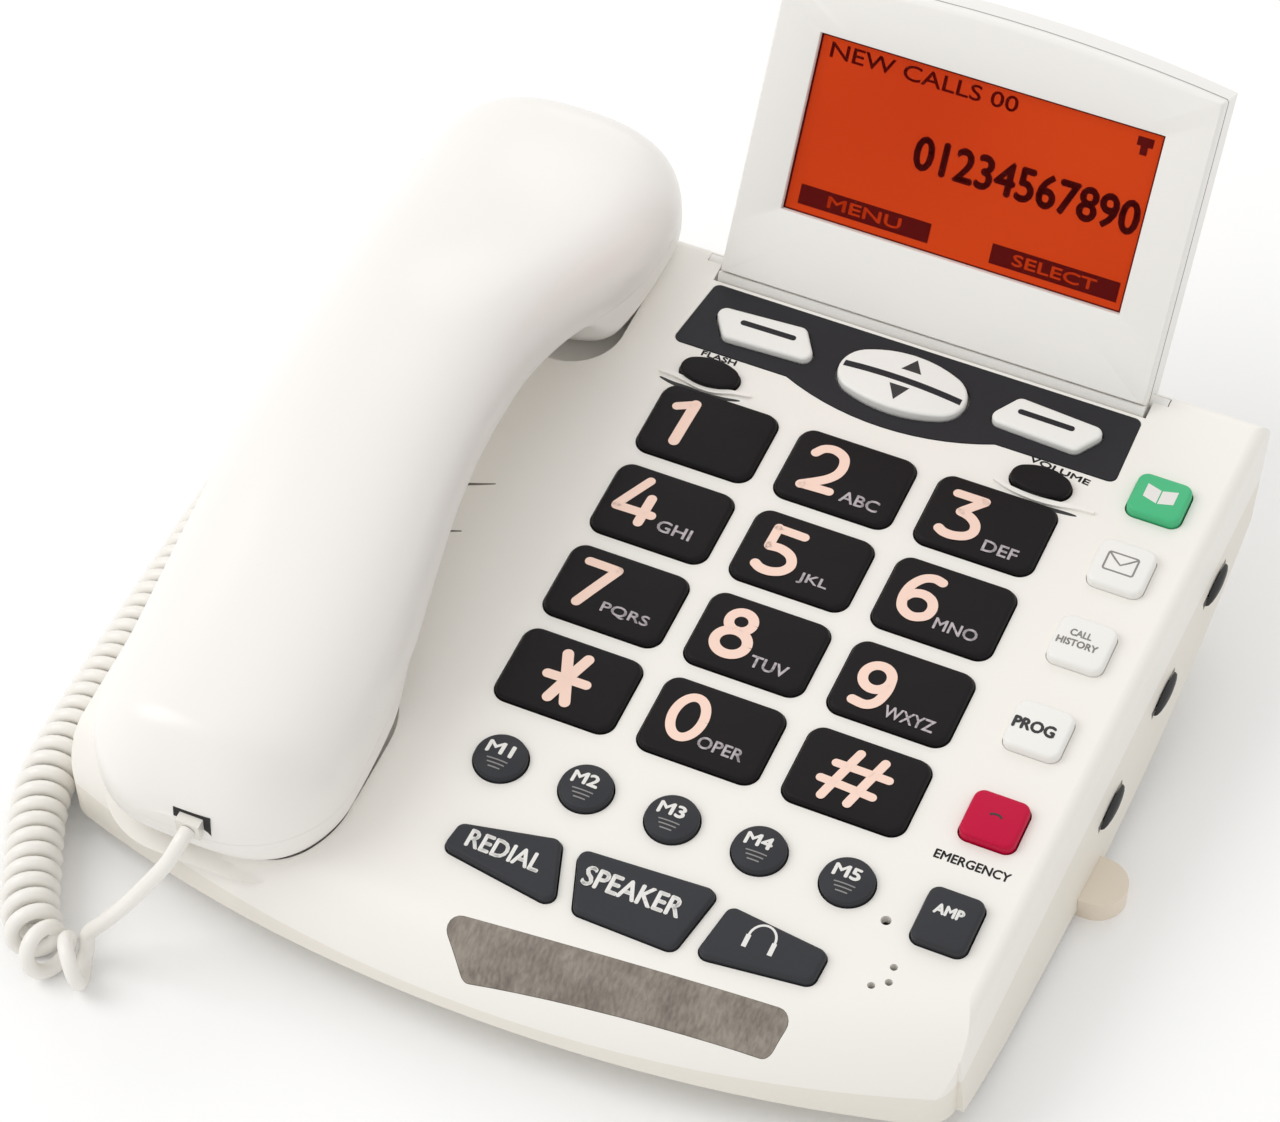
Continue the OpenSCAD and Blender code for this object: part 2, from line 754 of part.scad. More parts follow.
module hook_plunger() {
    color([0.9, 0.89, 0.87]) on_table() translate([-hook_x, hook_y, 0]) {
        intersection() {
            translate([0, 0, spring_z1 + 0.5]) cylinder(r = hook_r, h = 20);
            translate([0, 0, hook_top - 20]) sphere(20, $fn = 96);
        }
        translate([0, 0, spring_z1]) cylinder(r = 6.5, h = 1);
    }
}

// Upright compression spring, wound as one tube with flat ground ends.
module hook_spring() {
    turns = 5;
    n = 10;
    m = 6;
    rs = 3.6;
    rw = 0.45;
    h = spring_z1 - spring_z0 - 2 * rw;
    pts = [for (i = [0 : turns * n])
        let(a = 360 * i / n)
        [rs * cos(a), rs * sin(a), rw + h * i / (turns * n)]];
    color([0.7, 0.7, 0.72]) on_table() translate([-hook_x, hook_y, spring_z0])
        tube(pts, rw, m);
}

// ---- swept tubes ----------------------------------------------------------

function cross3(a, b) = [a.y * b.z - a.z * b.y, a.z * b.x - a.x * b.z, a.x * b.y - a.y * b.x];

// A direction at each point, and a frame carried along without twist.
function tangents(p) = [for (i = [0 : len(p) - 1])
    unit2(p[min(i + 1, len(p) - 1)] - p[max(i - 1, 0)])];

function start_side(t) = unit2(cross3(t, abs(t.z) < 0.9 ? [0, 0, 1] : [1, 0, 0]));

function carried(t) = [for (i = 0, u = start_side(t[0]); i < len(t);
    i = i + 1, u = i < len(t) ? unit2(u - t[i] * (u * t[i])) : u) u];

module tube(p, r, m) {
    t = tangents(p);
    u = carried(t);
    n = len(p);
    ring = [for (i = [0 : n - 1]) for (k = [0 : m - 1])
        p[i] + r * (cos(360 * k / m) * u[i] + sin(360 * k / m) * cross3(t[i], u[i]))];
    sides = [for (i = [0 : n - 2]) for (k = [0 : m - 1])
        let(a = i * m + k, b = i * m + (k + 1) % m)
        each [[a, a + m, b], [b, a + m, b + m]]];
    caps = [[for (k = [0 : m - 1]) k], [for (k = [m - 1 : -1 : 0]) (n - 1) * m + k]];
    polyhedron(points = ring, faces = concat(caps, sides), convexity = 10);
}

// Smooth curve through hand-set points, k steps between each two.
function curve(p, k) = concat([for (i = [0 : len(p) - 2]) for (j = [0 : k - 1])
    let(a = p[max(i - 1, 0)], b = p[i], c = p[i + 1], d = p[min(i + 2, len(p) - 1)], t = j / k)
    0.5 * (2 * b + (c - a) * t + (2 * a - 5 * b + 4 * c - d) * t * t
    + (3 * b - a - 3 * c + d) * t * t * t)], [p[len(p) - 1]]);

// ---- curly cord -----------------------------------------------------------

coil_r = (curl_d - wire_d) / 2;
coil_h = curl_d / 2 + 0.05;
// Centre line of the curly part on the table, front to rear.
coil_way = [[-98.3, -123.7], [-103, -125.6], [-109.2, -123.6], [-114.8, -116.8], [-119.8, -107],
    [-124.4, -97.4], [-127.9, -87.6], [-129.6, -77], [-130.6, -60], [-131.4, -40], [-132, -20],
    [-132.6, 0], [-133, 20], [-133.2, 38], [-133, 54], [-131.8, 67], [-128, 78], [-121.5, 86.8],
    [-112.5, 92], [-102, 93.8], [-91, 94]];
way = curve(coil_way, 12);
way_n = len(way) - 1;
seg = [for (i = [0 : way_n - 1]) norm(way[i + 1] - way[i])];
dist = [for (i = 0, s = 0; i <= way_n; s = i < way_n ? s + seg[i] : s, i = i + 1) s];
head_a = [for (i = [0 : way_n - 1]) atan2(way[i + 1].y - way[i].y, way[i + 1].x - way[i].x)];

function fold(a) = a > 180 ? a - 360 : a < -180 ? a + 360 : a;

// Turning angle of the centre line, unrolled so that it can be interpolated.
turned = [for (i = 0, a = head_a[0]; i < way_n; i = i + 1,
    a = i < way_n ? a + fold(head_a[i] - head_a[i - 1]) : a) a];
bend = [for (i = [0 : way_n - 1])
    let(lo = max(i - 4, 0), hi = min(i + 4, way_n - 1))
    abs(turned[hi] - turned[lo]) * PI / 180 / (dist[hi] - dist[lo])];
// Share of curls used up along the way: curls open out where the cord bends.
used = [for (i = 0, f = 0; i <= way_n; f = i < way_n ? f + seg[i] * (1 - coil_r * bend[i]) : f,
    i = i + 1) f];
way_l = dist[way_n];
s_of = [for (i = [0 : way_n]) [used[i] / used[way_n], dist[i]]];
x_of = [for (i = [0 : way_n]) [dist[i], way[i].x]];
y_of = [for (i = [0 : way_n]) [dist[i], way[i].y]];
a_of = [for (i = [0 : way_n - 1]) [dist[i] + seg[i] / 2, turned[i]]];
curl_steps = 8;
first_a = 196;

function curl_point(q) = let(s = lookup(q, s_of), a = lookup(s, a_of),
    f = first_a + 360 * curls * q)
    [lookup(s, x_of) - sin(a) * coil_r * cos(f), lookup(s, y_of) + cos(a) * coil_r * cos(f),
     coil_h + coil_r * sin(f)];

coil_pts = [for (i = [0 : curls * curl_steps]) curl_point(i / (curls * curl_steps))];
coil_end = coil_pts[curls * curl_steps];
plug_y = 69.2;
// Short lead from the last curl into the plug at the back of the base.
base_way = [coil_end, [-86.6, 91.8, 8.6], [-81.4, 91.2, 10.2], [-76.6, 88.2, 10.6],
    [jack_x, 82.5, jack_z], [jack_x, 77.5, jack_z], [jack_x, 73, jack_z], [jack_x, plug_y, jack_z]];
base_pts = curve(base_way, 3);
cord_pts = concat(coil_pts, [for (i = [1 : len(base_pts) - 1]) base_pts[i]]);

function panel_to_table(p) = [p.x, p.y * cos(slope) - p.z * sin(slope),
    p.y * sin(slope) + p.z * cos(slope) + panel_h];

plug_x = 6.3 - handset_x;
plug_z = 11.2;
plug_out = panel_to_table([plug_x, -mouth_reach - 1.8, plug_z]);
coil_start = coil_pts[0];
// Lead from the handset's plug down to the first curl.
lead_way = [plug_out + [0, -0.4, -0.042], plug_out + [-0.3, -3, -1], [-84.6, -112, 31], [-88.2, -114.6, 25.2],
    [-92.4, -116.6, 18.8], [-96.4, -117.6, 13.2], coil_start + [-0.1, 1.1, 3.1], coil_start + [-0.015, 0.17, 0.48]];
lead_pts = curve(lead_way, 4);

function path_l(p) = let(d = [for (i = [0 : len(p) - 2]) norm(p[i + 1] - p[i])])
    d * [for (i = [0 : len(p) - 2]) 1];

gap_self = min([for (i = [0 : 3 : len(coil_pts) - 1]) for (j = [i + 5 : 1 : min(i + 12, len(coil_pts) - 1)])
    norm(coil_pts[i] - coil_pts[j])]) - wire_d;
echo(way_l = way_l, cord_l = path_l(cord_pts), lead_l = path_l(lead_pts), gap_self = gap_self);
echo(low = min([for (p = cord_pts) p.z]) - wire_d / 2);

module cord_coil() {
    color([0.93, 0.92, 0.9]) on_table() tube(cord_pts, wire_d / 2, wire_sides);
}

module handset_lead() {
    color([0.93, 0.92, 0.9]) on_table() tube(lead_pts, wire_d / 2, 8);
}

module base_plug() {
    color([0.85, 0.85, 0.82]) on_table() {
        translate([jack_x - 3.8, 54, jack_z - 3.3]) cube([7.6, 13.6, 6.6]);
        translate([jack_x - 2.6, 67, jack_z - 2.3]) cube([5.2, plug_y - 67, 4.6]);
    }
}

module handset_plug() {
    color([0.85, 0.85, 0.82]) on_panel() translate([plug_x, 0, plug_z]) {
        translate([-3.8, 1 - mouth_reach, -3.3]) cube([7.6, 10, 6.6]);
        translate([-2.6, -mouth_reach - 1.8, -2.3]) cube([5.2, 3.4, 4.6]);
    }
}

// ---- handset --------------------------------------------------------------

// Centre line of the handset, which leans a little towards the keys at both ends.
function centre_x(y) = -handset_x + 1.2 * ss(0, 80, y) + 2.9 * (1 - ss(-80, 0, y));
function ss(a, b, y) = y <= a ? 0 : y >= b ? 1 : (1 - cos(180 * (y - a) / (b - a))) / 2;

stations = concat([for (d = [0, 0.35, 1.3, 3.6, 8, 14, 21, 29, 37.5]) d - mouth_reach],
    [-61, -57, -52, -47, -41, -34, -25, -15, -4, 7, 17, 25, 31, 35, 39, 43, 47, 51, 55, 63],
    [for (d = [26, 19, 13, 8, 4, 1.5, 0.35, 0]) ear_reach - d]);
side_n = 14;
top_d = 32;
cup_z = 0.3 - well_depth;
ear_hole_y = ear_reach - 30;
mic_y = 26.5 - mouth_reach;

function plan_w(y) = grip_w + (ear_w - grip_w) * ss(11, 65, y) + (mouth_w - grip_w) * (1 - ss(-70, 8, y));
function plan_end(y) = let(e = 21.5, m = 22.2, a = ear_reach - e, b = m - mouth_reach)
    y > a ? e - sqrt(max(0, e * e - pow(y - a, 2))) : y < b ? m - sqrt(max(0, m * m - pow(b - y, 2))) : 0;
function half_w(y) = plan_w(y) - plan_end(y);
function end_e(y) = let(a = ear_reach - 12, b = 12 - mouth_reach,
    q = y > a ? (y - a) / 12 : y < b ? (b - y) / 12 : 0)
    max(0.17, sqrt(max(0, 1 - q * q)));
function mid_z(y) = 25 - 15.8 * ss(10, 76, y) - 17.7 * (1 - ss(-88, 0, y));
function crown_z(y) = grip_top - (grip_top - 25.5) * ss(10, 82, y) - (grip_top - 31.5) * (1 - ss(-95, -5, y));
function under_z(y) = cup_z + (grip_under - cup_z) * ss(-62, -47, y) * (1 - ss(35, 54, y));
function pw(v, p) = sign(v) * pow(abs(v), p);

// One half of the handset as a hollow shell; up is 1 for the top half, -1 for the lower half.
module half_shell(up, p) {
    n = len(stations) - 1;
    m = side_n;
    reach = (ear_reach + mouth_reach) / 2;
    mid = (ear_reach - mouth_reach) / 2;
    drop = up > 0 ? 0 : 0.06;
    pts = [for (t = [0, shell_wall]) for (y = stations) for (j = [0 : m])
        let(a = 180 * j / m + (up > 0 ? 0 : 180),
            h = abs((up > 0 ? crown_z(y) : under_z(y)) - mid_z(y)) * end_e(y),
            ht = max(0.4, h - t),
            w = half_w(y) - t)
        [centre_x(y) + w * pw(cos(a), p), mid + (y - mid) * (1 - t / reach), mid_z(y) - drop + ht * pw(sin(a), p)]];
    q = (n + 1) * (m + 1);
    outer = [for (i = [0 : n - 1]) for (j = [0 : m - 1])
        let(a = i * (m + 1) + j, b = a + 1, c = b + m + 1, d = a + m + 1) each [[a, b, c], [a, c, d]]];
    inner = [for (f = outer) [f[0] + q, f[2] + q, f[1] + q]];
    rim = [for (i = [0 : n - 1]) let(a = i * (m + 1), b = a + m + 1, c = a + m, d = b + m)
        each [[a, b, b + q], [a, b + q, a + q], [d, c, c + q], [d, c + q, d + q]]];
    z = n * (m + 1);
    ends = [[for (j = [m : -1 : 0]) j], [for (j = [0 : m]) z + j],
        [for (j = [0 : m]) q + j], [for (j = [m : -1 : 0]) q + z + j],
        [m, 0, q, q + m], [z, z + m, q + z + m, q + z]];
    polyhedron(points = pts, faces = concat(outer, inner, rim, ends), convexity = 6);
}

module handset_top() {
    color([0.95, 0.94, 0.92]) on_panel() difference() {
        half_shell(1, 0.84);
        translate([plug_x - 4, -mouth_reach - 19.5, plug_z - 3.5]) cube([8, 32, 7]);
    }
}

module handset_bottom() {
    color([0.93, 0.92, 0.9]) on_panel() difference() {
        half_shell(-1, 0.72);
        for (a = [0 : 60 : 300]) translate([6 * cos(a) + centre_x(ear_hole_y), ear_hole_y + 6 * sin(a), -8]) cylinder(r = 1, h = 6);
        translate([centre_x(mic_y), mic_y, -8]) cylinder(r = 1.2, h = 6);
    }
}

module receiver_capsule() {
    color([0.3, 0.3, 0.32]) on_panel() translate([centre_x(ear_hole_y), ear_hole_y, cup_z + shell_wall + 1.75]) {
        cylinder(r = 15.5, h = 4);
        cylinder(r = 10, h = 7);
    }
}

module handset_microphone() {
    color([0.3, 0.3, 0.32]) on_panel() translate([centre_x(mic_y), mic_y, cup_z + shell_wall + 0.3])
        cylinder(r = 5, h = 5);
}

// ---- one module per key and knob ----------------------------------------

module key_1() {
    digit_key(0);
}

module key_2() {
    digit_key(1);
}

module key_3() {
    digit_key(2);
}

module key_4() {
    digit_key(3);
}

module key_5() {
    digit_key(4);
}

module key_6() {
    digit_key(5);
}

module key_7() {
    digit_key(6);
}

module key_8() {
    digit_key(7);
}

module key_9() {
    digit_key(8);
}

module key_star() {
    digit_key(9);
}

module key_0() {
    digit_key(10);
}

module key_hash() {
    digit_key(11);
}

module memory_key_1() {
    memory_key(0);
}

module memory_key_2() {
    memory_key(1);
}

module memory_key_3() {
    memory_key(2);
}

module memory_key_4() {
    memory_key(3);
}

module memory_key_5() {
    memory_key(4);
}

module redial_key() {
    poly_key(redial_pts, -80);
}

module speaker_key() {
    poly_key(speaker_pts, -79.6);
}

module headset_key() {
    poly_key(headset_pts, -80.2);
}

module directory_key() {
    column_key(0, [0.2, 0.7, 0.5]);
}

module message_key() {
    column_key(1, [0.93, 0.92, 0.9]);
}

module call_list_key() {
    column_key(2, [0.93, 0.92, 0.9]);
}

module program_key() {
    column_key(3, [0.93, 0.92, 0.9]);
}

module emergency_key() {
    column_key(4, [0.75, 0.02, 0.2]);
}

module amplify_key() {
    column_key(5, [0.3, 0.3, 0.31]);
}

module soft_key_left() {
    soft_key(-1);
}

module soft_key_right() {
    soft_key(1);
}

module oval_key_left() {
    oval_key(0);
}

module oval_key_right() {
    oval_key(1);
}

module slider_1() {
    slider_knob(0);
}

module slider_2() {
    slider_knob(1);
}

module slider_3() {
    slider_knob(2);
}

// ---- what is drawn --------------------------------------------------------

upper_case();
lower_case();
side_foot();
rubber_feet();
soft_key_panel();
ring_lens();
main_board();
keypad_mat();
loudspeaker();
modular_jacks();
power_jack();
case_screws();
display_front();
display_back();
display_lens();
lcd_panel();
handset_top();
handset_bottom();
receiver_capsule();
handset_microphone();
handset_plug();
hook_plunger();
hook_spring();
key_1();
key_2();
key_3();
key_4();
key_5();
key_6();
key_7();
key_8();
key_9();
key_star();
key_0();
key_hash();
memory_key_1();
memory_key_2();
memory_key_3();
memory_key_4();
memory_key_5();
redial_key();
speaker_key();
headset_key();
directory_key();
message_key();
call_list_key();
program_key();
emergency_key();
amplify_key();
soft_key_left();
soft_key_right();
navigation_rocker();
oval_key_left();
oval_key_right();
slider_1();
slider_2();
slider_3();
handset_lead();
cord_coil();
base_plug();
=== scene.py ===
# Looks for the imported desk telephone: camera, light, finishes and dressed pieces.
import math
import bpy
from mathutils import Matrix
import numpy as np


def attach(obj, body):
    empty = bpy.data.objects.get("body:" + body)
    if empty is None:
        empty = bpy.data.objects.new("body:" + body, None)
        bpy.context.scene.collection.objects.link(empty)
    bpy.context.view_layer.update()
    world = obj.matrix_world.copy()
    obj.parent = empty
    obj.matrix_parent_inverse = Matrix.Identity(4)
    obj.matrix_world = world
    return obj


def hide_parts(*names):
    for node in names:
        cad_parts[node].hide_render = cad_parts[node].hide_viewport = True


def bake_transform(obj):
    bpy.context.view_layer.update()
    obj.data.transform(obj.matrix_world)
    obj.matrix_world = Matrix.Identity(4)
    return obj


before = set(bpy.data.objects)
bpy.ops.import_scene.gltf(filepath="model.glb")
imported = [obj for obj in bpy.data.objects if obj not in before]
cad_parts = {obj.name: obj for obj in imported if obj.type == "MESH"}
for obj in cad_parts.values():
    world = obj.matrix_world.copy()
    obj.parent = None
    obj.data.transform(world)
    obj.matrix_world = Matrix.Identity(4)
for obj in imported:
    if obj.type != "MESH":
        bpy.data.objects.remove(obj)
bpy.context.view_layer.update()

print("stage: frame loaded")


base = {
    "slope": math.radians(6), "height": 36.5,   # key panel's slope, and height of the keypad's centre
    "shiftX": -19.97945, "shiftY": 7.428183,    # from the keypad's centre to the origin, mm
    "tilt": math.radians(57.7),                 # display face from the key panel
    "hinge": (2.2, 82.7, -1.25),                # display hinge in the panel's frame
}


def turned(p, angle):
    # Turns points about X: y' = y cos - z sin, z' = y sin + z cos.
    c, s = math.cos(angle), math.sin(angle)
    return np.stack([p[..., 0], p[..., 1] * c - p[..., 2] * s, p[..., 1] * s + p[..., 2] * c], -1)


def onTable(p):
    # Millimetres from the keypad's centre, level with the table, to metres in the shared frame.
    return (np.asarray(p, float) - [base["shiftX"], base["shiftY"], 0]) / 1000


def onPanel(p):
    # Millimetres on the sloping key panel to metres in the shared frame.
    return onTable(turned(np.asarray(p, float), base["slope"]) + [0, 0, base["height"]])


def onDisplay(p):
    # Millimetres on the display head, from its hinge, to metres in the shared frame.
    return onPanel(turned(np.asarray(p, float), base["tilt"]) + base["hinge"])


view = {
    "eye": (212.42, -511.74, 730.55),           # on the key panel's frame, mm
    "right": (0.913, 0.4075, -0.0198), "down": (0.3113, -0.7271, -0.6118), "ahead": (-0.2638, 0.5524, -0.7907),
    "lens": 123.75, "sensor": 36.0,
}


def addObject(name, data, axes=None, at=(0, 0, 0)):
    # New object in the scene, turned to the three axes and moved to its place.
    obj = bpy.data.objects.new(name, data)
    bpy.context.scene.collection.objects.link(obj)
    if axes is not None:
        m = np.eye(4)
        m[:3, :3], m[:3, 3] = np.transpose(axes), at
        obj.matrix_world = Matrix(m.tolist())
    return obj


def addCamera():
    # The three directions are squared up by the nearest turn (u v of their singular values).
    rows = np.array([view["right"], view["down"], view["ahead"]])
    u, _, v = np.linalg.svd(rows)
    right, down, ahead = turned(u @ v, base["slope"])
    cam = bpy.data.cameras.new("camera")
    cam.lens, cam.sensor_width, cam.sensor_fit = view["lens"], view["sensor"], "HORIZONTAL"
    cam.clip_start, cam.clip_end = 0.05, 50
    bpy.context.scene.camera = addObject("camera", cam, (right, -down, -ahead), onPanel(view["eye"]))


addCamera()
bpy.context.scene.view_settings.view_transform = "Standard"

lamps = [  # name, place, aim, width, watts
    ("keyLamp", (-1.15, -0.5, 1.3), (0, 0, 0.04), 1.2, 10.0),
    ("backLamp", (-0.2, 1.3, 1.1), (0, 0, 0.04), 1.2, 3.0),
]
for name, place, aim, width, watts in lamps:
    lamp = bpy.data.lights.new(name, "AREA")
    lamp.shape, lamp.size, lamp.energy = "DISK", width, watts
    back = np.array(place, float) - aim
    back /= np.linalg.norm(back)
    side = np.cross([0, 0, 1.0], back)
    side /= np.linalg.norm(side)
    addObject(name, lamp, (side, np.cross(back, side), back), place)


def addNode(nodes, kind, values=None, operation=None):
    # Adds a shader node with some of its sockets set.
    node = nodes.new("ShaderNode" + kind)
    if operation:
        node.operation = operation
    for socket, value in (values or {}).items():
        node.inputs[socket].default_value = value
    return node


def join(tree, *wires):
    # wires: (node, its output, next node, its input)
    for node, out, after, into in wires:
        tree.links.new(node.outputs[out], after.inputs[into])


def makeWorld():
    # Camera, mirror and glass rays see plain white; the light itself is softer and a little warm.
    world = bpy.data.worlds.new("studio")
    bpy.context.scene.world = world
    world.use_nodes = True
    tree = world.node_tree
    n = tree.nodes
    n.clear()
    path = addNode(n, "LightPath")
    a, b = addNode(n, "Math", None, "MAXIMUM"), addNode(n, "Math", None, "MAXIMUM")
    soft = addNode(n, "Background", {"Strength": 0.78, "Color": (1.0, 0.995, 0.985, 1)})
    white = addNode(n, "Background", {"Strength": 1.0, "Color": (1, 1, 1, 1)})
    mix, out = addNode(n, "MixShader"), addNode(n, "OutputWorld")
    join(tree, (path, "Is Camera Ray", a, 0), (path, "Is Glossy Ray", a, 1), (a, 0, b, 0),
         (path, "Is Transmission Ray", b, 1), (b, 0, mix, 0), (soft, 0, mix, 1), (white, 0, mix, 2), (mix, 0, out, 0))


makeWorld()


def gridQuads(rows, cols, closed=True):
    # Quads of a grid of rows x cols points; closed joins the last column to the first.
    i, j = np.meshgrid(np.arange(rows - 1), np.arange(cols if closed else cols - 1), indexing="ij")
    k = (j + 1) % cols
    return np.stack([i * cols + j, i * cols + k, (i + 1) * cols + k, (i + 1) * cols + j], -1).reshape(-1, 4)


def lofted(rows):
    # Surface through closed rings (R, N, 3), each end closed by a fan about the ring's mean.
    r, n = rows.shape[:2]
    j = np.arange(n)
    k = (j + 1) % n
    first = np.stack([np.full(n, r * n), k, j], -1)
    last = np.stack([np.full(n, r * n + 1), (r - 1) * n + j, (r - 1) * n + k], -1)
    faces = gridQuads(r, n).tolist() + first.tolist() + last.tolist()
    return np.concatenate([rows.reshape(-1, 3), rows[0].mean(0)[None], rows[-1].mean(0)[None]]), faces


def ringed(rows):
    # Surface through closed rings whose last ring joins the first, as round a frame.
    r, n = rows.shape[:2]
    i, j = np.meshgrid(np.arange(r), np.arange(n), indexing="ij")
    k, i2 = (j + 1) % n, (i + 1) % r
    return rows.reshape(-1, 3), np.stack([i * n + j, i * n + k, i2 * n + k, i2 * n + j], -1).reshape(-1, 4).tolist()


def piece(name, parts, body, replaces=(), sharp=35):
    # parts: (points in metres, faces, material); one mesh, one material slot for each material.
    verts, faces, marks, mats, count = [], [], [], [], 0
    for v, f, mat in parts:
        if mat not in mats:
            mats.append(mat)
        verts.append(np.asarray(v, float))
        faces += [[int(a) + count for a in face] for face in f]
        marks += [mats.index(mat)] * len(f)
        count += len(v)
    mesh = bpy.data.meshes.new(name)
    mesh.from_pydata(np.concatenate(verts).tolist(), [], faces)
    mesh.polygons.foreach_set("material_index", marks)
    mesh.polygons.foreach_set("use_smooth", [True] * len(faces))
    for mat in mats:
        mesh.materials.append(mat)
    mesh.set_sharp_from_angle(angle=math.radians(sharp))
    mesh.update()
    obj = addObject(name, mesh)
    if body:
        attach(obj, body)
    if replaces:
        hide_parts(*replaces)
    return obj


def raised(outline, z):
    # Flat outline at one height.
    return np.c_[outline, np.full(len(outline), z)]


def spun(x, y, angle):
    # Turns flat points about their origin.
    return x * math.cos(angle) - y * math.sin(angle), x * math.sin(angle) + y * math.cos(angle)


def cornersOf(x0, y0, x1, y1):
    # Corners of a box, counter-clockwise.
    return np.array([[x0, y0], [x1, y0], [x1, y1], [x0, y1]], float)


def rounded(points, radius, grow=0.0, steps=8):
    # Outline with its corners rounded by arcs, then moved outwards by grow; counter-clockwise.
    p = np.asarray(points, float)
    n = len(p)
    out = []
    for i in range(n):
        a, b, c = p[i - 1], p[i], p[(i + 1) % n]
        d1, d2 = (a - b) / np.linalg.norm(a - b), (c - b) / np.linalg.norm(c - b)
        half = math.acos(np.clip(d1 @ d2, -1, 1)) / 2
        mid = b + (d1 + d2) / np.linalg.norm(d1 + d2) * radius / math.sin(half)
        u, v = -d1, d2
        start = math.atan2(-u[0], u[1])
        sweep = (math.atan2(-v[0], v[1]) - start) % (2 * math.pi)
        w = start + sweep * np.linspace(0, 1, steps + 1)
        out.append(mid + (radius + grow) * np.stack([np.cos(w), np.sin(w)], -1))
    return np.concatenate(out)


def rectangle(w, h, radius, centre=(0, 0), grow=0.0):
    # Rounded rectangle about its centre.
    return rounded(cornersOf(-w / 2, -h / 2, w / 2, h / 2), radius, grow) + centre


def circle(centre, rx, ry, count):
    # Points round an oval, without the first one again at the end.
    a = np.linspace(0, 2 * np.pi, count, endpoint=False)
    return np.stack([centre[0] + rx * np.cos(a), centre[1] + ry * np.sin(a)], -1)


def evened(outline, count):
    # The same closed outline with points at even distances.
    p = np.concatenate([outline, outline[:1]])
    d = np.concatenate([[0], np.cumsum(np.linalg.norm(np.diff(p, axis=0), axis=1))])
    s = np.linspace(0, d[-1], count, endpoint=False)
    return np.stack([np.interp(s, d, p[:, 0]), np.interp(s, d, p[:, 1])], -1)


def smoothPath(points, k):
    # Catmull-Rom curve through the points, k steps between each two.
    p = np.asarray(points, float)
    n = len(p)
    i = np.arange(n - 1)
    a, b, c, d = p[np.maximum(i - 1, 0)], p[i], p[i + 1], p[np.minimum(i + 2, n - 1)]
    t = (np.arange(k) / k)[None, :, None]
    a, b, c, d = (q[:, None, :] for q in (a, b, c, d))
    q = 0.5 * (2 * b + (c - a) * t + (2 * a - 5 * b + 4 * c - d) * t ** 2 + (3 * b - a - 3 * c + d) * t ** 3)
    return np.concatenate([q.reshape(-1, p.shape[1]), p[-1:]])


def tubeRings(path, radius, sides):
    # Rings about a path: centre + r (cos a u + sin a v), with u carried along without twist.
    t = np.gradient(path, axis=0)
    t /= np.linalg.norm(t, axis=1)[:, None]
    u = np.cross(t[0], [0, 0, 1.0] if abs(t[0][2]) < 0.9 else [1.0, 0, 0])
    sidesU = []
    for d in t:
        u = u - d * (u @ d)
        u = u / np.linalg.norm(u)
        sidesU.append(u)
    u = np.array(sidesU)
    v = np.cross(t, u)
    a = np.linspace(0, 2 * np.pi, sides, endpoint=False)
    r = np.broadcast_to(np.asarray(radius, float), (len(path),))[:, None, None]
    return path[:, None] + r * (np.cos(a)[None, :, None] * u[:, None] + np.sin(a)[None, :, None] * v[:, None])


def makeGrainGroup():
    # Moulded surface: slow colour drift, fine texture height and slight roughness change.
    g = bpy.data.node_groups.new("mouldedGrain", "ShaderNodeTree")
    for name, kind, value in (("Color", "NodeSocketColor", (0.8, 0.8, 0.8, 1)), ("Drift", "NodeSocketFloat", 0.03),
                              ("Grain Scale", "NodeSocketFloat", 2500.0), ("Roughness", "NodeSocketFloat", 0.4),
                              ("Wear", "NodeSocketFloat", 0.05)):
        s = g.interface.new_socket(name=name, in_out="INPUT", socket_type=kind)
        s.default_value = value
    for name, kind in (("Color", "NodeSocketColor"), ("Roughness", "NodeSocketFloat"), ("Height", "NodeSocketFloat")):
        g.interface.new_socket(name=name, in_out="OUTPUT", socket_type=kind)
    n = g.nodes
    gin, gout = n.new("NodeGroupInput"), n.new("NodeGroupOutput")
    coord = addNode(n, "TexCoord")
    slow = addNode(n, "TexNoise", {"Scale": 22.0, "Detail": 3.0})
    fine = addNode(n, "TexNoise", {"Detail": 2.0})
    rub = addNode(n, "TexNoise", {"Scale": 160.0, "Detail": 4.0})
    centred = addNode(n, "Math", {1: 0.5}, "SUBTRACT")
    scaled = addNode(n, "Math", {2: 1.0}, "MULTIPLY_ADD")
    tint = addNode(n, "VectorMath", None, "SCALE")
    rough = addNode(n, "Math", None, "MULTIPLY_ADD")
    join(g, (coord, "Object", slow, "Vector"), (coord, "Object", fine, "Vector"), (coord, "Object", rub, "Vector"),
         (gin, "Grain Scale", fine, "Scale"), (slow, "Fac", centred, 0), (centred, 0, scaled, 0),
         (gin, "Drift", scaled, 1), (gin, "Color", tint, 0), (scaled, 0, tint, "Scale"), (tint, 0, gout, "Color"),
         (rub, "Fac", rough, 0), (gin, "Wear", rough, 1), (gin, "Roughness", rough, 2), (rough, 0, gout, "Roughness"),
         (fine, "Fac", gout, "Height"))
    return g


grainGroup = makeGrainGroup()


def linear(hexColour):
    # Written colour (sRGB hex) to the linear values that a shader takes.
    c = np.array([int(hexColour[i:i + 2], 16) / 255 for i in (1, 3, 5)])
    return tuple(np.where(c <= 0.04045, c / 12.92, ((c + 0.055) / 1.055) ** 2.4)) + (1.0,)


def newMaterial(name, values):
    # Material with some sockets of its shader set.
    m = bpy.data.materials.new(name)
    m.use_nodes = True
    for socket, value in values.items():
        m.node_tree.nodes["Principled BSDF"].inputs[socket].default_value = value
    return m


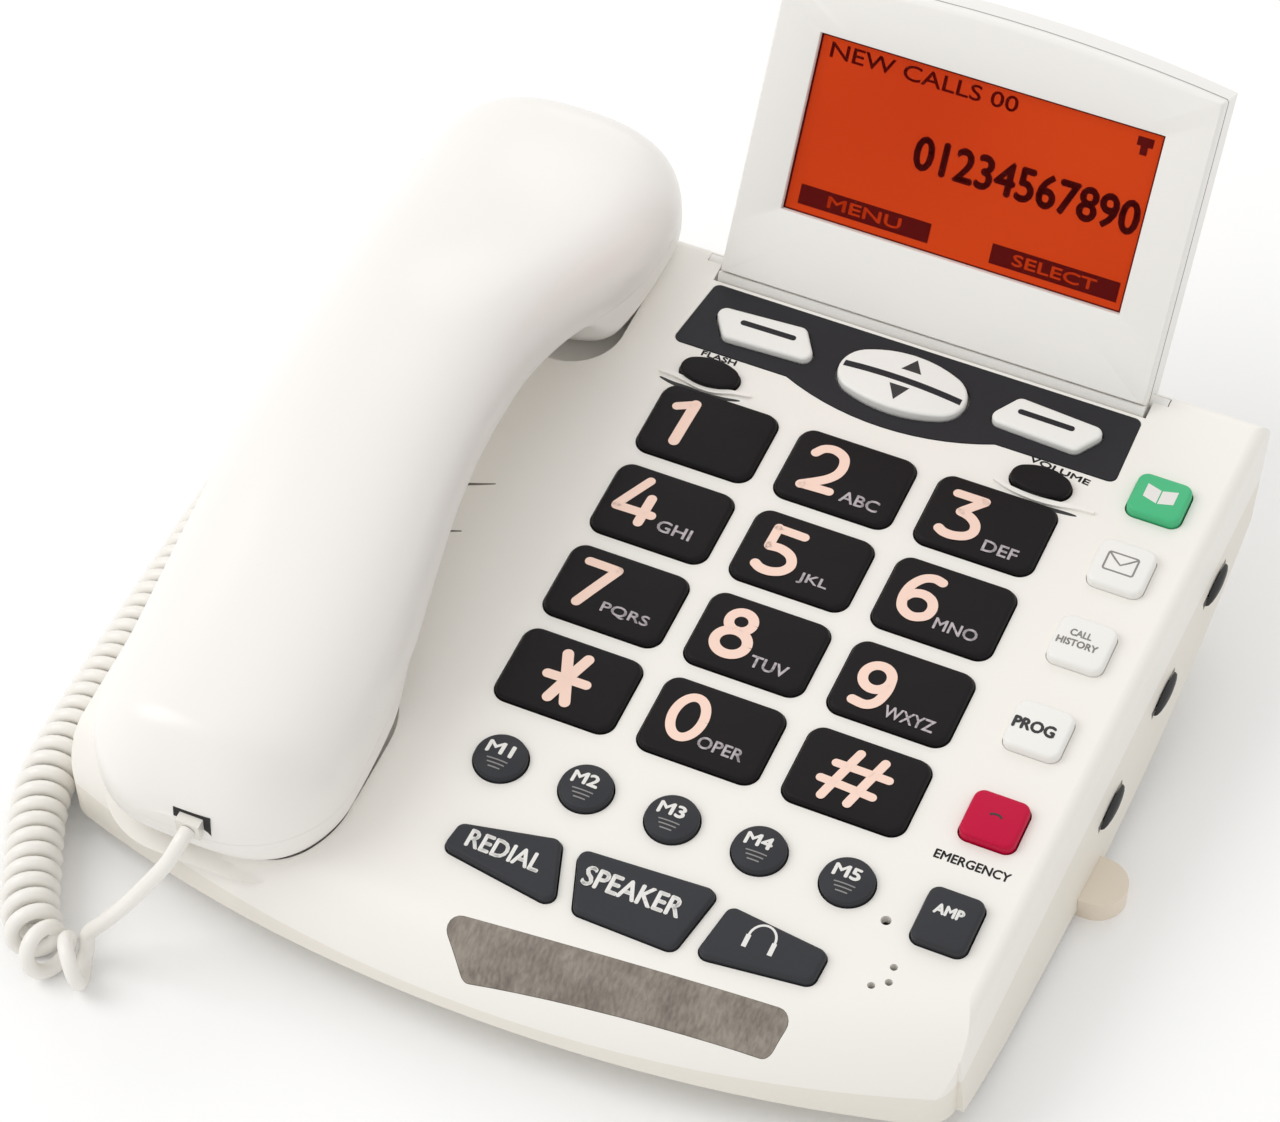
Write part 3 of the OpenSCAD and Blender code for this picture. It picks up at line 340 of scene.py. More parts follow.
def moulded(name, colour, rough, drift, grain, bump, coat=0.0, metal=0.0, shine=0.5):
    # Plastic, rubber or metal: the grain group feeds colour, roughness and bump (its height in mm).
    m = newMaterial(name, {"Metallic": metal, "Specular IOR Level": shine, "Coat Weight": coat,
                           "Coat Roughness": 0.15})
    n = m.node_tree.nodes
    shader = n["Principled BSDF"]
    g = n.new("ShaderNodeGroup")
    g.node_tree = grainGroup
    for socket, value in (("Color", linear(colour)), ("Drift", drift), ("Grain Scale", grain), ("Roughness", rough)):
        g.inputs[socket].default_value = value
    b = addNode(n, "Bump", {"Strength": 0.35, "Distance": bump / 1000})
    join(m.node_tree, (g, "Color", shader, "Base Color"), (g, "Roughness", shader, "Roughness"),
         (g, "Height", b, "Height"), (b, "Normal", shader, "Normal"))
    m.diffuse_color = linear(colour)
    return m


finishes = {  # colour, roughness, drift, grain, bump in mm, coat, metal, shine
    "case": ("#f2efe9", 0.38, 0.02, 2600, 0.012),
    "lowerCase": ("#e9e4da", 0.42, 0.03, 2600, 0.012),
    "beige": ("#e8dccb", 0.45, 0.04, 2200, 0.015),
    "handset": ("#f1eeea", 0.3, 0.02, 2400, 0.01, 0.15),
    "head": ("#f0eeea", 0.36, 0.02, 2600, 0.012),
    "rubber": ("#2b2b2b", 0.8, 0.1, 1500, 0.05),
    "keyBlack": ("#100c0e", 0.5, 0.2, 1800, 0.03, 0, 0, 0.18),
    "keyCharcoal": ("#323337", 0.5, 0.1, 1700, 0.04, 0, 0, 0.22),
    "keyWhite": ("#efeeea", 0.4, 0.02, 2000, 0.015),
    "keyGreen": ("#46b980", 0.4, 0.06, 1900, 0.03, 0.1, 0, 0.3),
    "keyRed": ("#c0023a", 0.45, 0.06, 1900, 0.03, 0, 0, 0.2),
    "numeral": ("#f6d6c6", 0.55, 0.12, 900, 0.01),
    "paleInk": ("#e6e4e0", 0.55, 0.05, 900, 0.01),
    "dimInk": ("#bdb4b8", 0.55, 0.05, 900, 0.01),
    # dark ink for print, also used for the painted shadow lines under the eyebrows
    "darkInkAndShadow": ("#2b2a2b", 0.55, 0.1, 900, 0.01),
    "greyInk": ("#8a8785", 0.55, 0.1, 900, 0.01),
    "panel": ("#262529", 0.45, 0.14, 1500, 0.03, 0, 0, 0.22),
    "knob": ("#121212", 0.4, 0.1, 1500, 0.04),
    "jack": ("#33322f", 0.5, 0.08, 1500, 0.03),
    "plug": ("#e9e6de", 0.12, 0.02, 1500, 0.005, 0.5),
    "board": ("#1f5b3a", 0.45, 0.12, 700, 0.05),
    "mat": ("#b9babb", 0.6, 0.05, 1200, 0.02),
    "driver": ("#2e2f33", 0.6, 0.1, 1100, 0.05),
    "steel": ("#b8babd", 0.28, 0.05, 2000, 0.01, 0, 1.0),
    "cord": ("#efece6", 0.32, 0.03, 1500, 0.01, 0.1),
    "receiver": ("#43444a", 0.6, 0.08, 1200, 0.03),
    "lcdInk": ("#5e0a08", 0.5, 0.1, 900, 0.005, 0, 0, 0.05),
    "lcdFaint": ("#7a120a", 0.5, 0.1, 900, 0.005, 0, 0, 0.05),
    # dark finish painted where the shade inside recesses and holes would be
    "paintedHoleShade": ("#1b191a", 0.7, 0.1, 900, 0.005),
    "paintedSeamShade": ("#a3a19d", 0.5, 0.05, 1500, 0.01),
    "tabShade": ("#6f6661", 0.6, 0.1, 1500, 0.01),
}


def addRamp(nodes, low, high):
    # Colour ramp between two ends, each (position, written colour).
    ramp = addNode(nodes, "ValToRGB")
    for end, (place, colour) in zip(ramp.color_ramp.elements, (low, high)):
        end.position, end.color = place, linear(colour)
    return ramp


def darkWindow():
    # Smoked lens: grey-brown plastic, mottled by two noises; the finer one is drawn out to short slanting streaks.
    m = moulded("smokedWindow", "#8b8177", 0.28, 0.1, 900, 0.01, coat=0.25, shine=0.3)
    n = m.node_tree.nodes
    coord = addNode(n, "TexCoord")
    squeeze = addNode(n, "Mapping", {"Scale": (1300, 520, 520), "Rotation": (0, 0, 0.5)})
    noise = addNode(n, "TexNoise", {"Scale": 1.0, "Detail": 5.0})
    patch = addNode(n, "TexNoise", {"Scale": 120.0, "Detail": 3.0})
    both = addNode(n, "Math", {1: 0.55}, "MULTIPLY_ADD")
    half = addNode(n, "Math", {1: 0.5}, "MULTIPLY")
    ramp = addRamp(n, (0.34, "#675e56"), (0.68, "#988f84"))
    join(m.node_tree, (coord, "Object", squeeze, "Vector"), (squeeze, 0, noise, "Vector"),
         (coord, "Object", patch, "Vector"), (noise, "Fac", half, 0), (patch, "Fac", both, 0), (half, 0, both, 2),
         (both, 0, ramp, 0), (ramp, 0, n["Principled BSDF"], "Base Color"))
    return m


def litScreen():
    # Back-lit screen: orange-red that glows a little, brighter to one side.
    m = moulded("litScreen", "#c5390f", 0.5, 0.1, 3000, 0.01, shine=0.1)
    n = m.node_tree.nodes
    shader = n["Principled BSDF"]
    shader.inputs["Emission Strength"].default_value = 0.2
    coord = addNode(n, "TexCoord")
    noise = addNode(n, "TexNoise", {"Scale": 14.0, "Detail": 1.0})
    ramp = addRamp(n, (0.3, "#b93009"), (0.75, "#cb400c"))
    join(m.node_tree, (coord, "Object", noise, "Vector"), (noise, "Fac", ramp, 0), (ramp, 0, shader, "Base Color"),
         (ramp, 0, shader, "Emission Color"))
    return m


def clearPlastic():
    # Clear window over the screen: thin and nearly free of tint.
    m = newMaterial("clearWindow", {"Base Color": (0.02, 0.02, 0.02, 1), "Specular IOR Level": 0.1, "Alpha": 0.03,
                                    "IOR": 1.49})
    n = m.node_tree.nodes
    coord = addNode(n, "TexCoord")
    noise = addNode(n, "TexNoise", {"Scale": 90.0})
    rough = addNode(n, "MapRange", {"To Min": 0.04, "To Max": 0.1})
    join(m.node_tree, (coord, "Object", noise, "Vector"), (noise, "Fac", rough, "Value"),
         (rough, 0, n["Principled BSDF"], "Roughness"))
    return m


finishes = {name: moulded(name, *row) for name, row in finishes.items()}
finishes.update({"window": darkWindow(), "screen": litScreen(), "lens": clearPlastic()})
print("stage: finishes made")

nodeFinish = {  # every other node takes the case's finish
    "lower_case": "lowerCase", "side_foot": "beige", "rubber_feet": "rubber",
    "soft_key_panel": "panel", "ring_lens": "window", "main_board": "board", "keypad_mat": "mat",
    "loudspeaker": "driver", "modular_jacks": "jack", "power_jack": "jack", "case_screws": "steel",
    "display_front": "head", "display_back": "head", "display_lens": "lens", "lcd_panel": "screen",
    "handset_top": "handset", "handset_bottom": "handset", "receiver_capsule": "receiver",
    "handset_microphone": "receiver", "handset_plug": "plug", "hook_spring": "steel",
    "base_plug": "plug", "slider_1": "knob", "slider_2": "knob", "slider_3": "knob",
}


def nodeObjects(name):
    # The objects of a CAD node, as a list.
    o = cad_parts[name]
    return list(o) if isinstance(o, (list, tuple)) else [o]


def finishNodes():
    # Gives every carried-over CAD node its finish.
    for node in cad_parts:
        mat = finishes[nodeFinish.get(node, "case")]
        for o in nodeObjects(node):
            if not o.data.materials:
                o.data.materials.append(mat)
            for i in range(len(o.data.materials)):
                o.data.materials[i] = mat


finishNodes()


curl = {
    "wire": 3.3, "outer": 12.4, "curls": 63, "steps": 24, "first": 196, "open": 0.82,
    "way": [[-98.3, -123.7], [-103, -125.6], [-109.2, -123.6], [-114.8, -116.8], [-119.8, -107],
            [-124.4, -97.4], [-127.9, -87.6], [-129.6, -77], [-130.6, -60], [-131.4, -40], [-132, -20],
            [-132.6, 0], [-133, 20], [-133.2, 38], [-133, 54], [-131.8, 67], [-128, 78], [-121.5, 86.8],
            [-112.5, 92], [-102, 93.8], [-91, 94]],
    "plug": (-82.4, -106.0, 11.2), "jack": (-74.0, 69.2, 10.5),
}


def curlPoints(steps):
    # A helix about the lay of the cord: side offset r cos f, height h + r sin f, f running faster where straight.
    r = (curl["outer"] - curl["wire"]) / 2
    way = smoothPath(curl["way"], 12)
    step = np.diff(way, axis=0)
    seg = np.linalg.norm(step, axis=1)
    dist = np.concatenate([[0], np.cumsum(seg)])
    heading = np.degrees(np.unwrap(np.arctan2(step[:, 1], step[:, 0])))
    i = np.arange(len(seg))
    lo, hi = np.maximum(i - 4, 0), np.minimum(i + 4, len(seg) - 1)
    bend = np.abs(heading[hi] - heading[lo]) * np.pi / 180 / (dist[hi] - dist[lo])
    used = np.concatenate([[0], np.cumsum(seg * (1 - curl["open"] * r * bend))])
    q = np.linspace(0, 1, curl["curls"] * steps + 1)
    s = np.interp(q, used / used[-1], dist)
    a = np.radians(np.interp(s, dist[:-1] + seg / 2, heading))
    f = np.radians(curl["first"] + 360 * curl["curls"] * q)
    x, y = np.interp(s, dist, way[:, 0]), np.interp(s, dist, way[:, 1])
    h = curl["outer"] / 2 + 0.05
    return np.stack([x - np.sin(a) * r * np.cos(f), y + np.cos(a) * r * np.cos(f), h + r * np.sin(f)], -1)


def cordPath():
    # Lead down from the handset's plug, the curls, and the short lead into the base, in one line.
    curls = curlPoints(curl["steps"])
    plug = turned(np.array(curl["plug"]), base["slope"]) + [0, 0, base["height"]]
    lead = smoothPath([plug, plug + [-0.3, -3, -1], [-84.6, -112, 31], [-88.2, -114.6, 25.2],
                       [-92.4, -116.6, 18.8], [-96.4, -117.6, 13.2], curls[0] + [-0.1, 1.1, 3.1], curls[0]], 8)
    # The last curl runs on to its top, where the wire leaves it level towards the jack.
    x, y, z = curl["jack"]
    r, (ex, ey) = (curl["outer"] - curl["wire"]) / 2, curl["way"][-1]
    f = np.radians(np.arange(curl["first"] + 15, 451, 15))
    more = np.stack([ex + 4.2 * (np.degrees(f) - curl["first"]) / 360, ey + r * np.cos(f),
                     curl["outer"] / 2 + 0.05 + r * np.sin(f)], -1)
    tail = smoothPath([more[-1], [-86.9, 91.4, 10.9], [-83.6, 89.6, 10.8], [-79.2, 88.4, 10.6], [-75.6, 86.0, z],
                       [x, 82.5, z], [x, 77.5, z], [x, 73, z], [x, y, z]], 8)
    return onTable(np.concatenate([lead[:-1], curls, more, tail[1:]]))


def makeCord():
    path = cordPath()
    v, f = lofted(tubeRings(path, curl["wire"] / 2000, 10))
    cord = piece("curly_cord", [(v, f, finishes["cord"])], None, ("handset_lead", "cord_coil"), 60)
    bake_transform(cord)
    tuple(path[0])


makeCord()


def lettered(text, height, centre, width, turn):
    # Flat letters as (points, faces) in mm: scaled to the height and width, turned, then moved to the centre.
    thick, depth = 0.01, 0.03
    font = bpy.data.curves.new("letters", "FONT")
    font.body, font.extrude, font.resolution_u = text, thick, 3
    obj = bpy.data.objects.new("letters", font)
    mesh = bpy.data.meshes.new_from_object(obj)
    v = np.empty(len(mesh.vertices) * 3)
    mesh.vertices.foreach_get("co", v)
    v = v.reshape(-1, 3)
    faces = [list(p.vertices) for p in mesh.polygons]
    bpy.data.objects.remove(obj)
    bpy.data.curves.remove(font)
    bpy.data.meshes.remove(mesh)
    lo, hi = v.min(0), v.max(0)
    x = (v[:, 0] - (lo[0] + hi[0]) / 2) * width / (hi[0] - lo[0])
    y = (v[:, 1] - (lo[1] + hi[1]) / 2) * height / (hi[1] - lo[1])
    x, y = spun(x, y, math.radians(turn))
    return np.stack([x + centre[0], y + centre[1], v[:, 2] / thick * depth], -1), faces


def stroke(points, width, depth=0.03):
    # Flat band of even width along a line of points, with a little depth; width may vary along it.
    p = np.asarray(points, float)
    t = np.gradient(p, axis=0)
    t /= np.linalg.norm(t, axis=1)[:, None]
    side = np.stack([-t[:, 1], t[:, 0]], -1) * (np.broadcast_to(np.asarray(width, float), (len(p),)) / 2)[:, None]
    n = len(p)
    l, r = p + side, p - side
    v = np.stack([raised(r, -depth), raised(r, depth), raised(l, depth), raised(l, -depth)], 1).reshape(-1, 3)
    f = gridQuads(n, 4)[:, ::-1].tolist() + [[0, 1, 2, 3], [4 * n - 1, 4 * n - 2, 4 * n - 3, 4 * n - 4]]
    return v, f


def filled(outline):
    # Flat filled shape with a little depth, closed by fans.
    o, depth = np.asarray(outline, float), 0.03
    return lofted(np.stack([raised(o, -depth), raised(o, depth)]))


def laid(shapes, crown, finish, lift=0.02, place=onPanel):
    # Lays flat shapes on a crowned top: z = crown(x, y) + lift, then into the shared frame; one part for each.
    parts = []
    for v, f in shapes:
        v = np.array(v, float)
        v[:, 2] += crown(v[:, 0], v[:, 1]) + lift
        parts.append((place(v), f, finishes[finish]))
    return parts


def inked(points, width, kind, centre):
    # A pen line with round ends: kind 0 straight, 1 smooth curve, 2 closed oval (x, y, rx, ry).
    if kind == 2:
        x, y, rx, ry = points
        line = circle((x, y), rx, ry, 48)
        line = np.concatenate([line, line[:1]])
    elif kind == 1:
        line = smoothPath(points, 6)
    else:
        p = np.asarray(points, float)
        line = p[0] + np.linspace(0, 1, 9)[:, None] * (p[1] - p[0])
    line = line + centre
    shapes = [stroke(line, width)]
    if kind < 2:
        shapes += [filled(circle(end, width / 2, width / 2, 20)) for end in (line[0], line[-1])]
    return shapes


def boldText(text, height, centre, width, weight, turn=0.0):
    # Letters thickened by laying four copies, each shifted by half the weight.
    c = np.asarray(centre, float)
    return [lettered(text, height, c + d, width, turn)
            for d in np.array([[-0.5, 0], [0.5, 0], [0, 0.5], [0, -0.5]]) * weight]


def flat(height):
    return lambda x, y: np.full(np.shape(x), float(height))


keys = {
    "flangeTop": -2.45, "flange": 1.0, "rise": 1.8, "columnRise": 2.4,
    "pitchX": 32, "pitchY": 23.8, "w": 26.6, "h": 19.4, "r": 3.2, "ball": 230, "edge": 1.1,
    # key letters: text, middle from the key's centre, width
    "words": {"2": ("ABC", 5.5, -5.5, 8.5), "3": ("DEF", 5.5, -6.0, 7.6), "4": ("GHI", 4.6, -4.2, 7.6),
              "5": ("JKL", 4.6, -5.3, 6.4), "6": ("MNO", 4.6, -5.2, 9.4), "7": ("PQRS", 4.1, -4.8, 10.6),
              "8": ("TUV", 4.8, -5.3, 8.2), "9": ("WXYZ", 4.2, -6.2, 10.8), "0": ("OPER", 3.9, -4.4, 9.8)},
    "wordHeight": 2.9,
}

numerals = {  # lines of each sign about its key's centre, mm: (width, kind, points) as inked takes them
    "1": [(2.5, 0, [[-5.0, 5.3], [-5.3, -5.6]]), (2.1, 0, [[-5.2, 5.2], [-8.6, 3.5]])],
    "2": [(2.2, 1, [[-8.1, 3.3], [-6.8, 4.9], [-4.5, 5.4], [-2.1, 4.3], [-1.2, 2.0], [-1.5, -0.4], [-2.9, -2.4],
                    [-5.3, -4.2], [-7.9, -5.8]]), (2.0, 0, [[-7.7, -5.8], [-1.4, -5.6]])],
    "3": [(2.1, 0, [[-8.2, 4.9], [-1.9, 4.8]]), (2.2, 0, [[-2.0, 4.6], [-5.6, 0.7]]),
          (2.2, 1, [[-5.8, 0.4], [-3.6, -0.2], [-1.8, -1.7], [-1.4, -3.7], [-2.6, -5.3], [-5.0, -6.1], [-7.2, -6.0],
                    [-8.6, -5.3]])],
    "4": [(2.1, 0, [[-5.3, 6.0], [-9.5, -2.3]]), (2.1, 0, [[-9.5, -2.6], [-1.4, -2.6]]),
          (2.2, 0, [[-3.1, 1.6], [-3.3, -5.2]])],
    "5": [(2.1, 0, [[-7.4, 5.0], [-1.4, 4.8]]), (2.1, 0, [[-7.4, 5.2], [-7.5, 0.0]]),
          (2.2, 1, [[-7.4, 0.0], [-4.7, 0.1], [-2.2, -1.0], [-1.2, -3.2], [-2.3, -5.2], [-4.6, -6.2], [-6.9, -6.1],
                    [-8.4, -5.3]])],
    "6": [(2.2, 1, [[-2.3, 5.0], [-4.2, 5.4], [-6.4, 4.5], [-8.1, 2.0], [-8.6, -1.0], [-8.0, -3.7], [-6.4, -5.1],
                    [-4.5, -5.4], [-2.4, -4.3], [-1.8, -2.2], [-2.7, -0.2], [-4.8, 0.7], [-7.1, 0.1], [-8.4, -1.6]])],
    "7": [(2.1, 0, [[-8.4, 5.3], [-1.7, 5.1]]), (2.3, 0, [[-1.8, 5.0], [-6.6, -5.4]])],
    "8": [(2.2, 2, (-4.85, 3.0, 2.6, 2.5)), (2.3, 2, (-4.85, -2.6, 3.5, 3.1))],
    "9": [(2.2, 2, (-5.6, 0.9, 3.0, 3.1)),
          (2.2, 1, [[-2.6, 1.2], [-2.5, -1.6], [-3.4, -4.8], [-5.4, -6.3], [-8.4, -6.0]])],
    "star": [(2.4, 0, [[-2.4, 5.2], [2.0, -6.3]]), (2.4, 0, [[2.1, 5.4], [-1.8, -6.3]]),
             (2.2, 0, [[-4.3, -0.9], [4.3, -0.7]])],
    "0": [(2.1, 2, (-5.25, 0.25, 3.3, 5.2))],
    "hash": [(2.0, 0, [[-1.4, 5.6], [-5.1, -6.7]]), (2.0, 0, [[4.1, 5.3], [0.6, -6.7]]),
             (1.9, 0, [[-5.2, 1.7], [6.3, 1.7]]), (1.9, 0, [[-6.8, -2.8], [4.7, -3.4]])],
}


def ballCrown(c, rise, radius):
    # Top of a ball: rise - (R - sqrt(R^2 - dx^2 - dy^2)).
    return lambda x, y: rise - (radius - np.sqrt(np.maximum(radius ** 2 - (x - c[0]) ** 2 - (y - c[1]) ** 2, 0)))


def rollCrown(cy, rise, radius):
    # Top of a roll along X: rise - (R - sqrt(R^2 - dy^2)).
    return lambda x, y: rise - (radius - np.sqrt(np.maximum(radius ** 2 - (y - cy) ** 2, 0))) + 0 * x


def cap(outlineAt, crown, edge, lip, finish, top=keys["flangeTop"]):
    # Key: flange up to top, upright skirt, quarter-round edge of the given radius, crowned top closed at its middle.
    o = outlineAt(0)
    big = outlineAt(lip)
    rows = [raised(big, top - keys["flange"]), raised(big, top), raised(o, top)]
    for a in np.radians([0, 15, 30, 45, 60, 75, 90]):
        p = outlineAt(-edge * (1 - math.cos(a)))
        q = outlineAt(-edge)
        rows.append(np.c_[p, crown(q[:, 0], q[:, 1]) - edge * (1 - math.sin(a))])
    inner = outlineAt(-edge)
    mid = inner.mean(0)
    for k in (0.85, 0.6, 0.35, 0.12):
        p = mid + (inner - mid) * k
        rows.append(np.c_[p, crown(p[:, 0], p[:, 1])])
    v, f = lofted(np.array(rows))
    v[-1, 2] = crown(v[-1:, 0], v[-1:, 1])[0]
    return [(onPanel(v), f, finishes[finish])]


def keyPiece(node, name, parts):
    # Piece in place of one moving node, on the node's own body.
    piece(name, parts, node + "_body", (node,))


def makeDigitKeys():
    names = ["1", "2", "3", "4", "5", "6", "7", "8", "9", "star", "0", "hash"]
    for i, name in enumerate(names):
        c = np.array([(i % 3 - 1) * keys["pitchX"], (1.5 - i // 3) * keys["pitchY"]])
        crown = ballCrown(c, keys["rise"], keys["ball"])
        parts = cap(lambda g: rectangle(keys["w"], keys["h"], keys["r"], c, g), crown, keys["edge"], 0.6, "keyBlack")
        for width, kind, pts in numerals[name]:
            parts += laid(inked(pts, width, kind, c), crown, "numeral")
        if name in keys["words"]:
            text, x, y, w = keys["words"][name]
            parts += laid(boldText(text, keys["wordHeight"], c + [x, y], w, 0.12), crown, "dimInk")
        keyPiece("key_" + name, "key_cap_" + name, parts)


memory = {
    "middle": (1.6, -59.1), "pitch": 19, "radius": 5.6, "ball": 15,
    "lines": ((-1.6, 4.6), (-2.5, 3.8), (-3.4, 2.6)),  # height from the key's centre, and length
}


def makeMemoryKeys():
    r = memory["radius"]
    for i in range(5):
        c = np.array(memory["middle"]) + [(i - 2) * memory["pitch"], 0]
        crown = ballCrown(c, keys["columnRise"], memory["ball"])
        parts = cap(lambda g: circle(c, r + g, r + g, 48), crown, 0.6, 1.0, "keyCharcoal")
        parts += laid(boldText("M" + str(i + 1), 2.9, c + [-0.5, 1.2], 5.6, 0.3), crown, "paleInk", 0.09)
        lines = [stroke(c + np.stack([np.linspace(-w / 2, w / 2, 7), np.full(7, y)], -1), 0.26)
                 for y, w in memory["lines"]]
        parts += laid(lines, crown, "greyInk")
        keyPiece("memory_key_" + str(i + 1), "memory_cap_" + str(i + 1), parts)


rowKeys = {  # corners, height of the crown's top line, and the word as boldText takes it
    "redial_key": ([[-37.9, -83.5], [-11.4, -87.6], [-16.5, -72.5], [-37.0, -77.0]], -80,
                   ("REDIAL", 4.1, (-25.7, -79.9), 16.0, 0.3, -1.0)),
    "speaker_key": ([[-7.6, -87.2], [14.4, -87.75], [17.4, -71.3], [-12.6, -73.0]], -79.6,
                    ("SPEAKER", 4.6, (1.8, -78.7), 21.0, 0.34)),
    "headset_key": ([[18.5, -87.0], [42.5, -84.2], [42.8, -76.2], [20.6, -73.6]], -80.2, None),
}


def makeRowKeys():
    for name, (pts, cy, word) in rowKeys.items():
        crown = rollCrown(cy, keys["rise"], 120)
        if word:
            shapes = boldText(*word)
        else:
            # Headphones: a band over two upright cups.
            middle, half, foot = 29.6, 2.75, -80.4
            a = np.linspace(0, np.pi, 25)
            shapes = [stroke(np.stack([middle + half * np.cos(a), foot + 1.5 + 1.2 * half * np.sin(a)], -1), 0.5)]
            shapes += [stroke(np.stack([np.full(5, middle + s * half), foot + np.linspace(-1.5, 1.5, 5)], -1), 1.0)
                       for s in (-1, 1)]
        parts = cap(lambda g: rounded(pts, 2, g), crown, 0.9, 0.9, "keyCharcoal") + laid(shapes, crown, "paleInk")
        keyPiece(name, name.replace("_key", "_cap"), parts)


columnKeys = {
    "at": [[63.4, 56.0], [62.4, 35.8], [61.8, 13.8], [61.4, -10], [61.2, -34.2], [61.4, -60.1]],
    "names": ["directory_key", "message_key", "call_list_key", "program_key", "emergency_key", "amplify_key"],
    "heights": [11, 12, 12, 12, 12, 13.6], "widths": [12, 12, 12, 12, 12, 11.8],
    "finish": ["keyGreen", "keyWhite", "keyWhite", "keyWhite", "keyRed", "keyCharcoal"],
    "slots": ["key_green", "case_plastic", "case_plastic", "case_plastic", "key_red", "key_charcoal"],
}


def makeColumnKeys():
    for i, name in enumerate(columnKeys["names"]):
        c = np.array(columnKeys["at"][i], float)
        crown = ballCrown(c, keys["columnRise"], 90)
        w, h = columnKeys["widths"][i], columnKeys["heights"][i]
        finish = columnKeys["finish"][i]
        wide = 0.22 if finish == "keyWhite" else 0.0
        parts = cap(lambda g: rectangle(w, h, 2.2, c, g + wide), crown, 0.9, 1.0, finish)
        if i == 0:
            for s in (-1, 1):  # open book: two leaning pages
                page = np.array([[0.15 * s, -2.2], [3.4 * s, -1.2], [3.4 * s, 2.4], [0.15 * s, 1.4]]) + c
                parts += laid([filled(page[::s])], crown, "paleInk")
        elif i == 1:  # envelope
            c = c + [-0.3, 0.0]
            edge = rectangle(6.6, 4.8, 0.5, c)
            flap = c + np.array([[-3.1, 2.2], [-1.5, 0.7], [0, -0.5], [1.5, 0.7], [3.1, 2.2]])
            parts += laid([stroke(np.concatenate([edge, edge[:1]]), 0.4), stroke(flap, 0.4)], crown, "greyInk")
        elif i == 2:
            for text, y, long in (("CALL", 1.5, 4.6), ("HISTORY", -1.1, 8.8)):
                parts += laid(boldText(text, 1.7, c + [-0.8, y], long, 0.14), crown, "greyInk")
        elif i == 3:
            parts += laid(boldText("PROG", 2.7, c + [-1.0, -0.3], 8.8, 0.34), crown, "darkInkAndShadow")
        elif i == 4:
            tick = c + np.array([[-1.3, 0.3], [-0.4, 0.7], [0.6, 0.7], [1.4, 0.2]])
            parts += laid([stroke(tick, 0.5)], crown, "darkInkAndShadow")
        else:
            parts += laid(boldText("AMP", 2.3, c + [-0.3, 1.3], 6.0, 0.3), crown, "paleInk")
        keyPiece(name, name.replace("_key", "_cap"), parts)


softKeys = {
    "points": [[-39.5, 61.2], [-18.0, 62.2], [-23.4, 70.7], [-44.7, 69.2]], "centreX": 1.5,
    "slot": [[-37.2, 65.7], [-24.2, 65.9], [-24.5, 67.3], [-37.5, 67.1]],
}


def makeSoftKeys():
    for side, name in ((-1, "left"), (1, "right")):
        def sided(p):  # the right key is the left one mirrored
            return p if side < 0 else (p * [-1, 1] + [2 * softKeys["centreX"], 0])[::-1]
        crown = rollCrown(66, keys["rise"], 90)
        parts = cap(lambda g: sided(rounded(softKeys["points"], 2, g)), crown, 0.8, 0.9, "keyWhite")
        parts += laid([filled(rounded(sided(np.array(softKeys["slot"])), 0.7))], crown, "panel")
        keyPiece("soft_key_" + name, "soft_cap_" + name, parts)


def oval(a, b, r1, g):
    # Oval of four arcs: small arcs r1 at the ends, large arcs above and below, grown by g.
    n = 64
    a1, k = a - r1, b - r1
    b1 = (a1 ** 2 - k ** 2) / (2 * k)
    t = np.linspace(0, 2 * np.pi, n, endpoint=False)
    x, y = np.cos(t), np.sin(t)
    large = np.arctan2(np.abs(y), np.abs(x)) > math.atan2(b1, a1)  # past the point where the arcs meet
    p = np.where(large, [(b1 + b + g) * x, (b1 + b + g) * y - np.copysign(b1, y)],
                 [np.copysign(a1, x) + (r1 + g) * x, (r1 + g) * y])
    return evened(p.T, n)


def makeOvals():
    for name, c in (("left", (-38, 50.9)), ("right", (38.6, 50.9))):
        crown = ballCrown(c, 2, 60)
        parts = cap(lambda g: oval(6.75, 3.75, 2.9, g) + c, crown, 0.7, 0.6, "keyBlack")
        keyPiece("oval_key_" + name, "oval_cap_" + name, parts)
    c = np.array([1.5, 64.4])
    crown = ballCrown(c, 2.6, 90)
    t = np.linspace(-1, 1, 9)
    line = c + np.stack([t * 13.7, -0.35 * t], -1)
    up = np.array([[-1.4, 2.8], [3.2, 2.8], [1.0, 6.4]]) + c
    down = np.array([[-2.3, -1.8], [0.1, -5.8], [2.3, -1.8]]) + c
    parts = cap(lambda g: oval(14.7, 7.85, 6.2, g) + c, crown, 0.8, 0.9, "keyWhite", -3.0)
    parts += laid([stroke(line, 1.6)], crown, "panel") + laid([filled(up), filled(down)], crown, "darkInkAndShadow")
    piece("rocker_cap", parts, "rocker", ("navigation_rocker",))


makeDigitKeys()
makeMemoryKeys()
makeRowKeys()
makeColumnKeys()
makeSoftKeys()
makeOvals()
print("stage: keys made")


head = {
    "w": 99.6, "h": 72.2, "arch": 420.0, "face": 5.5, "thick": 3.0, "edge": 1.5,
    "window": (-39.2, 18.2, 39.2, 58.6), "screen": 4.0,
    # screen texts: text, height, middle, width, weight, finish, lift
    "texts": [("MENU", 2.5, (-21.0, 22.4), 17, 0.16, "screen", 0.1),
              ("SELECT", 2.5, (23.0, 22.4), 19, 0.16, "screen", 0.1),
              ("01234567890", 7.4, (12.4, 39.1), 51, 0.6, "lcdInk", 0.03),
              ("NEW CALLS 00", 3.4, (-15.0, 55.4), 43, 0.12, "lcdFaint", 0.03)],
}


def headOutline(grow):
    # Sides and foot straight, top an arc of the large radius about its own centre; corners rounded.
    h = head
    x = np.linspace(h["w"] / 2, -h["w"] / 2, 13)
    top = np.stack([x, h["h"] - h["arch"] + np.sqrt(h["arch"] ** 2 - x ** 2)], -1)
    pts = np.concatenate([[[-h["w"] / 2, 0], [h["w"] / 2, 0]], top])
    return rounded(pts, 0.6, grow, 3)


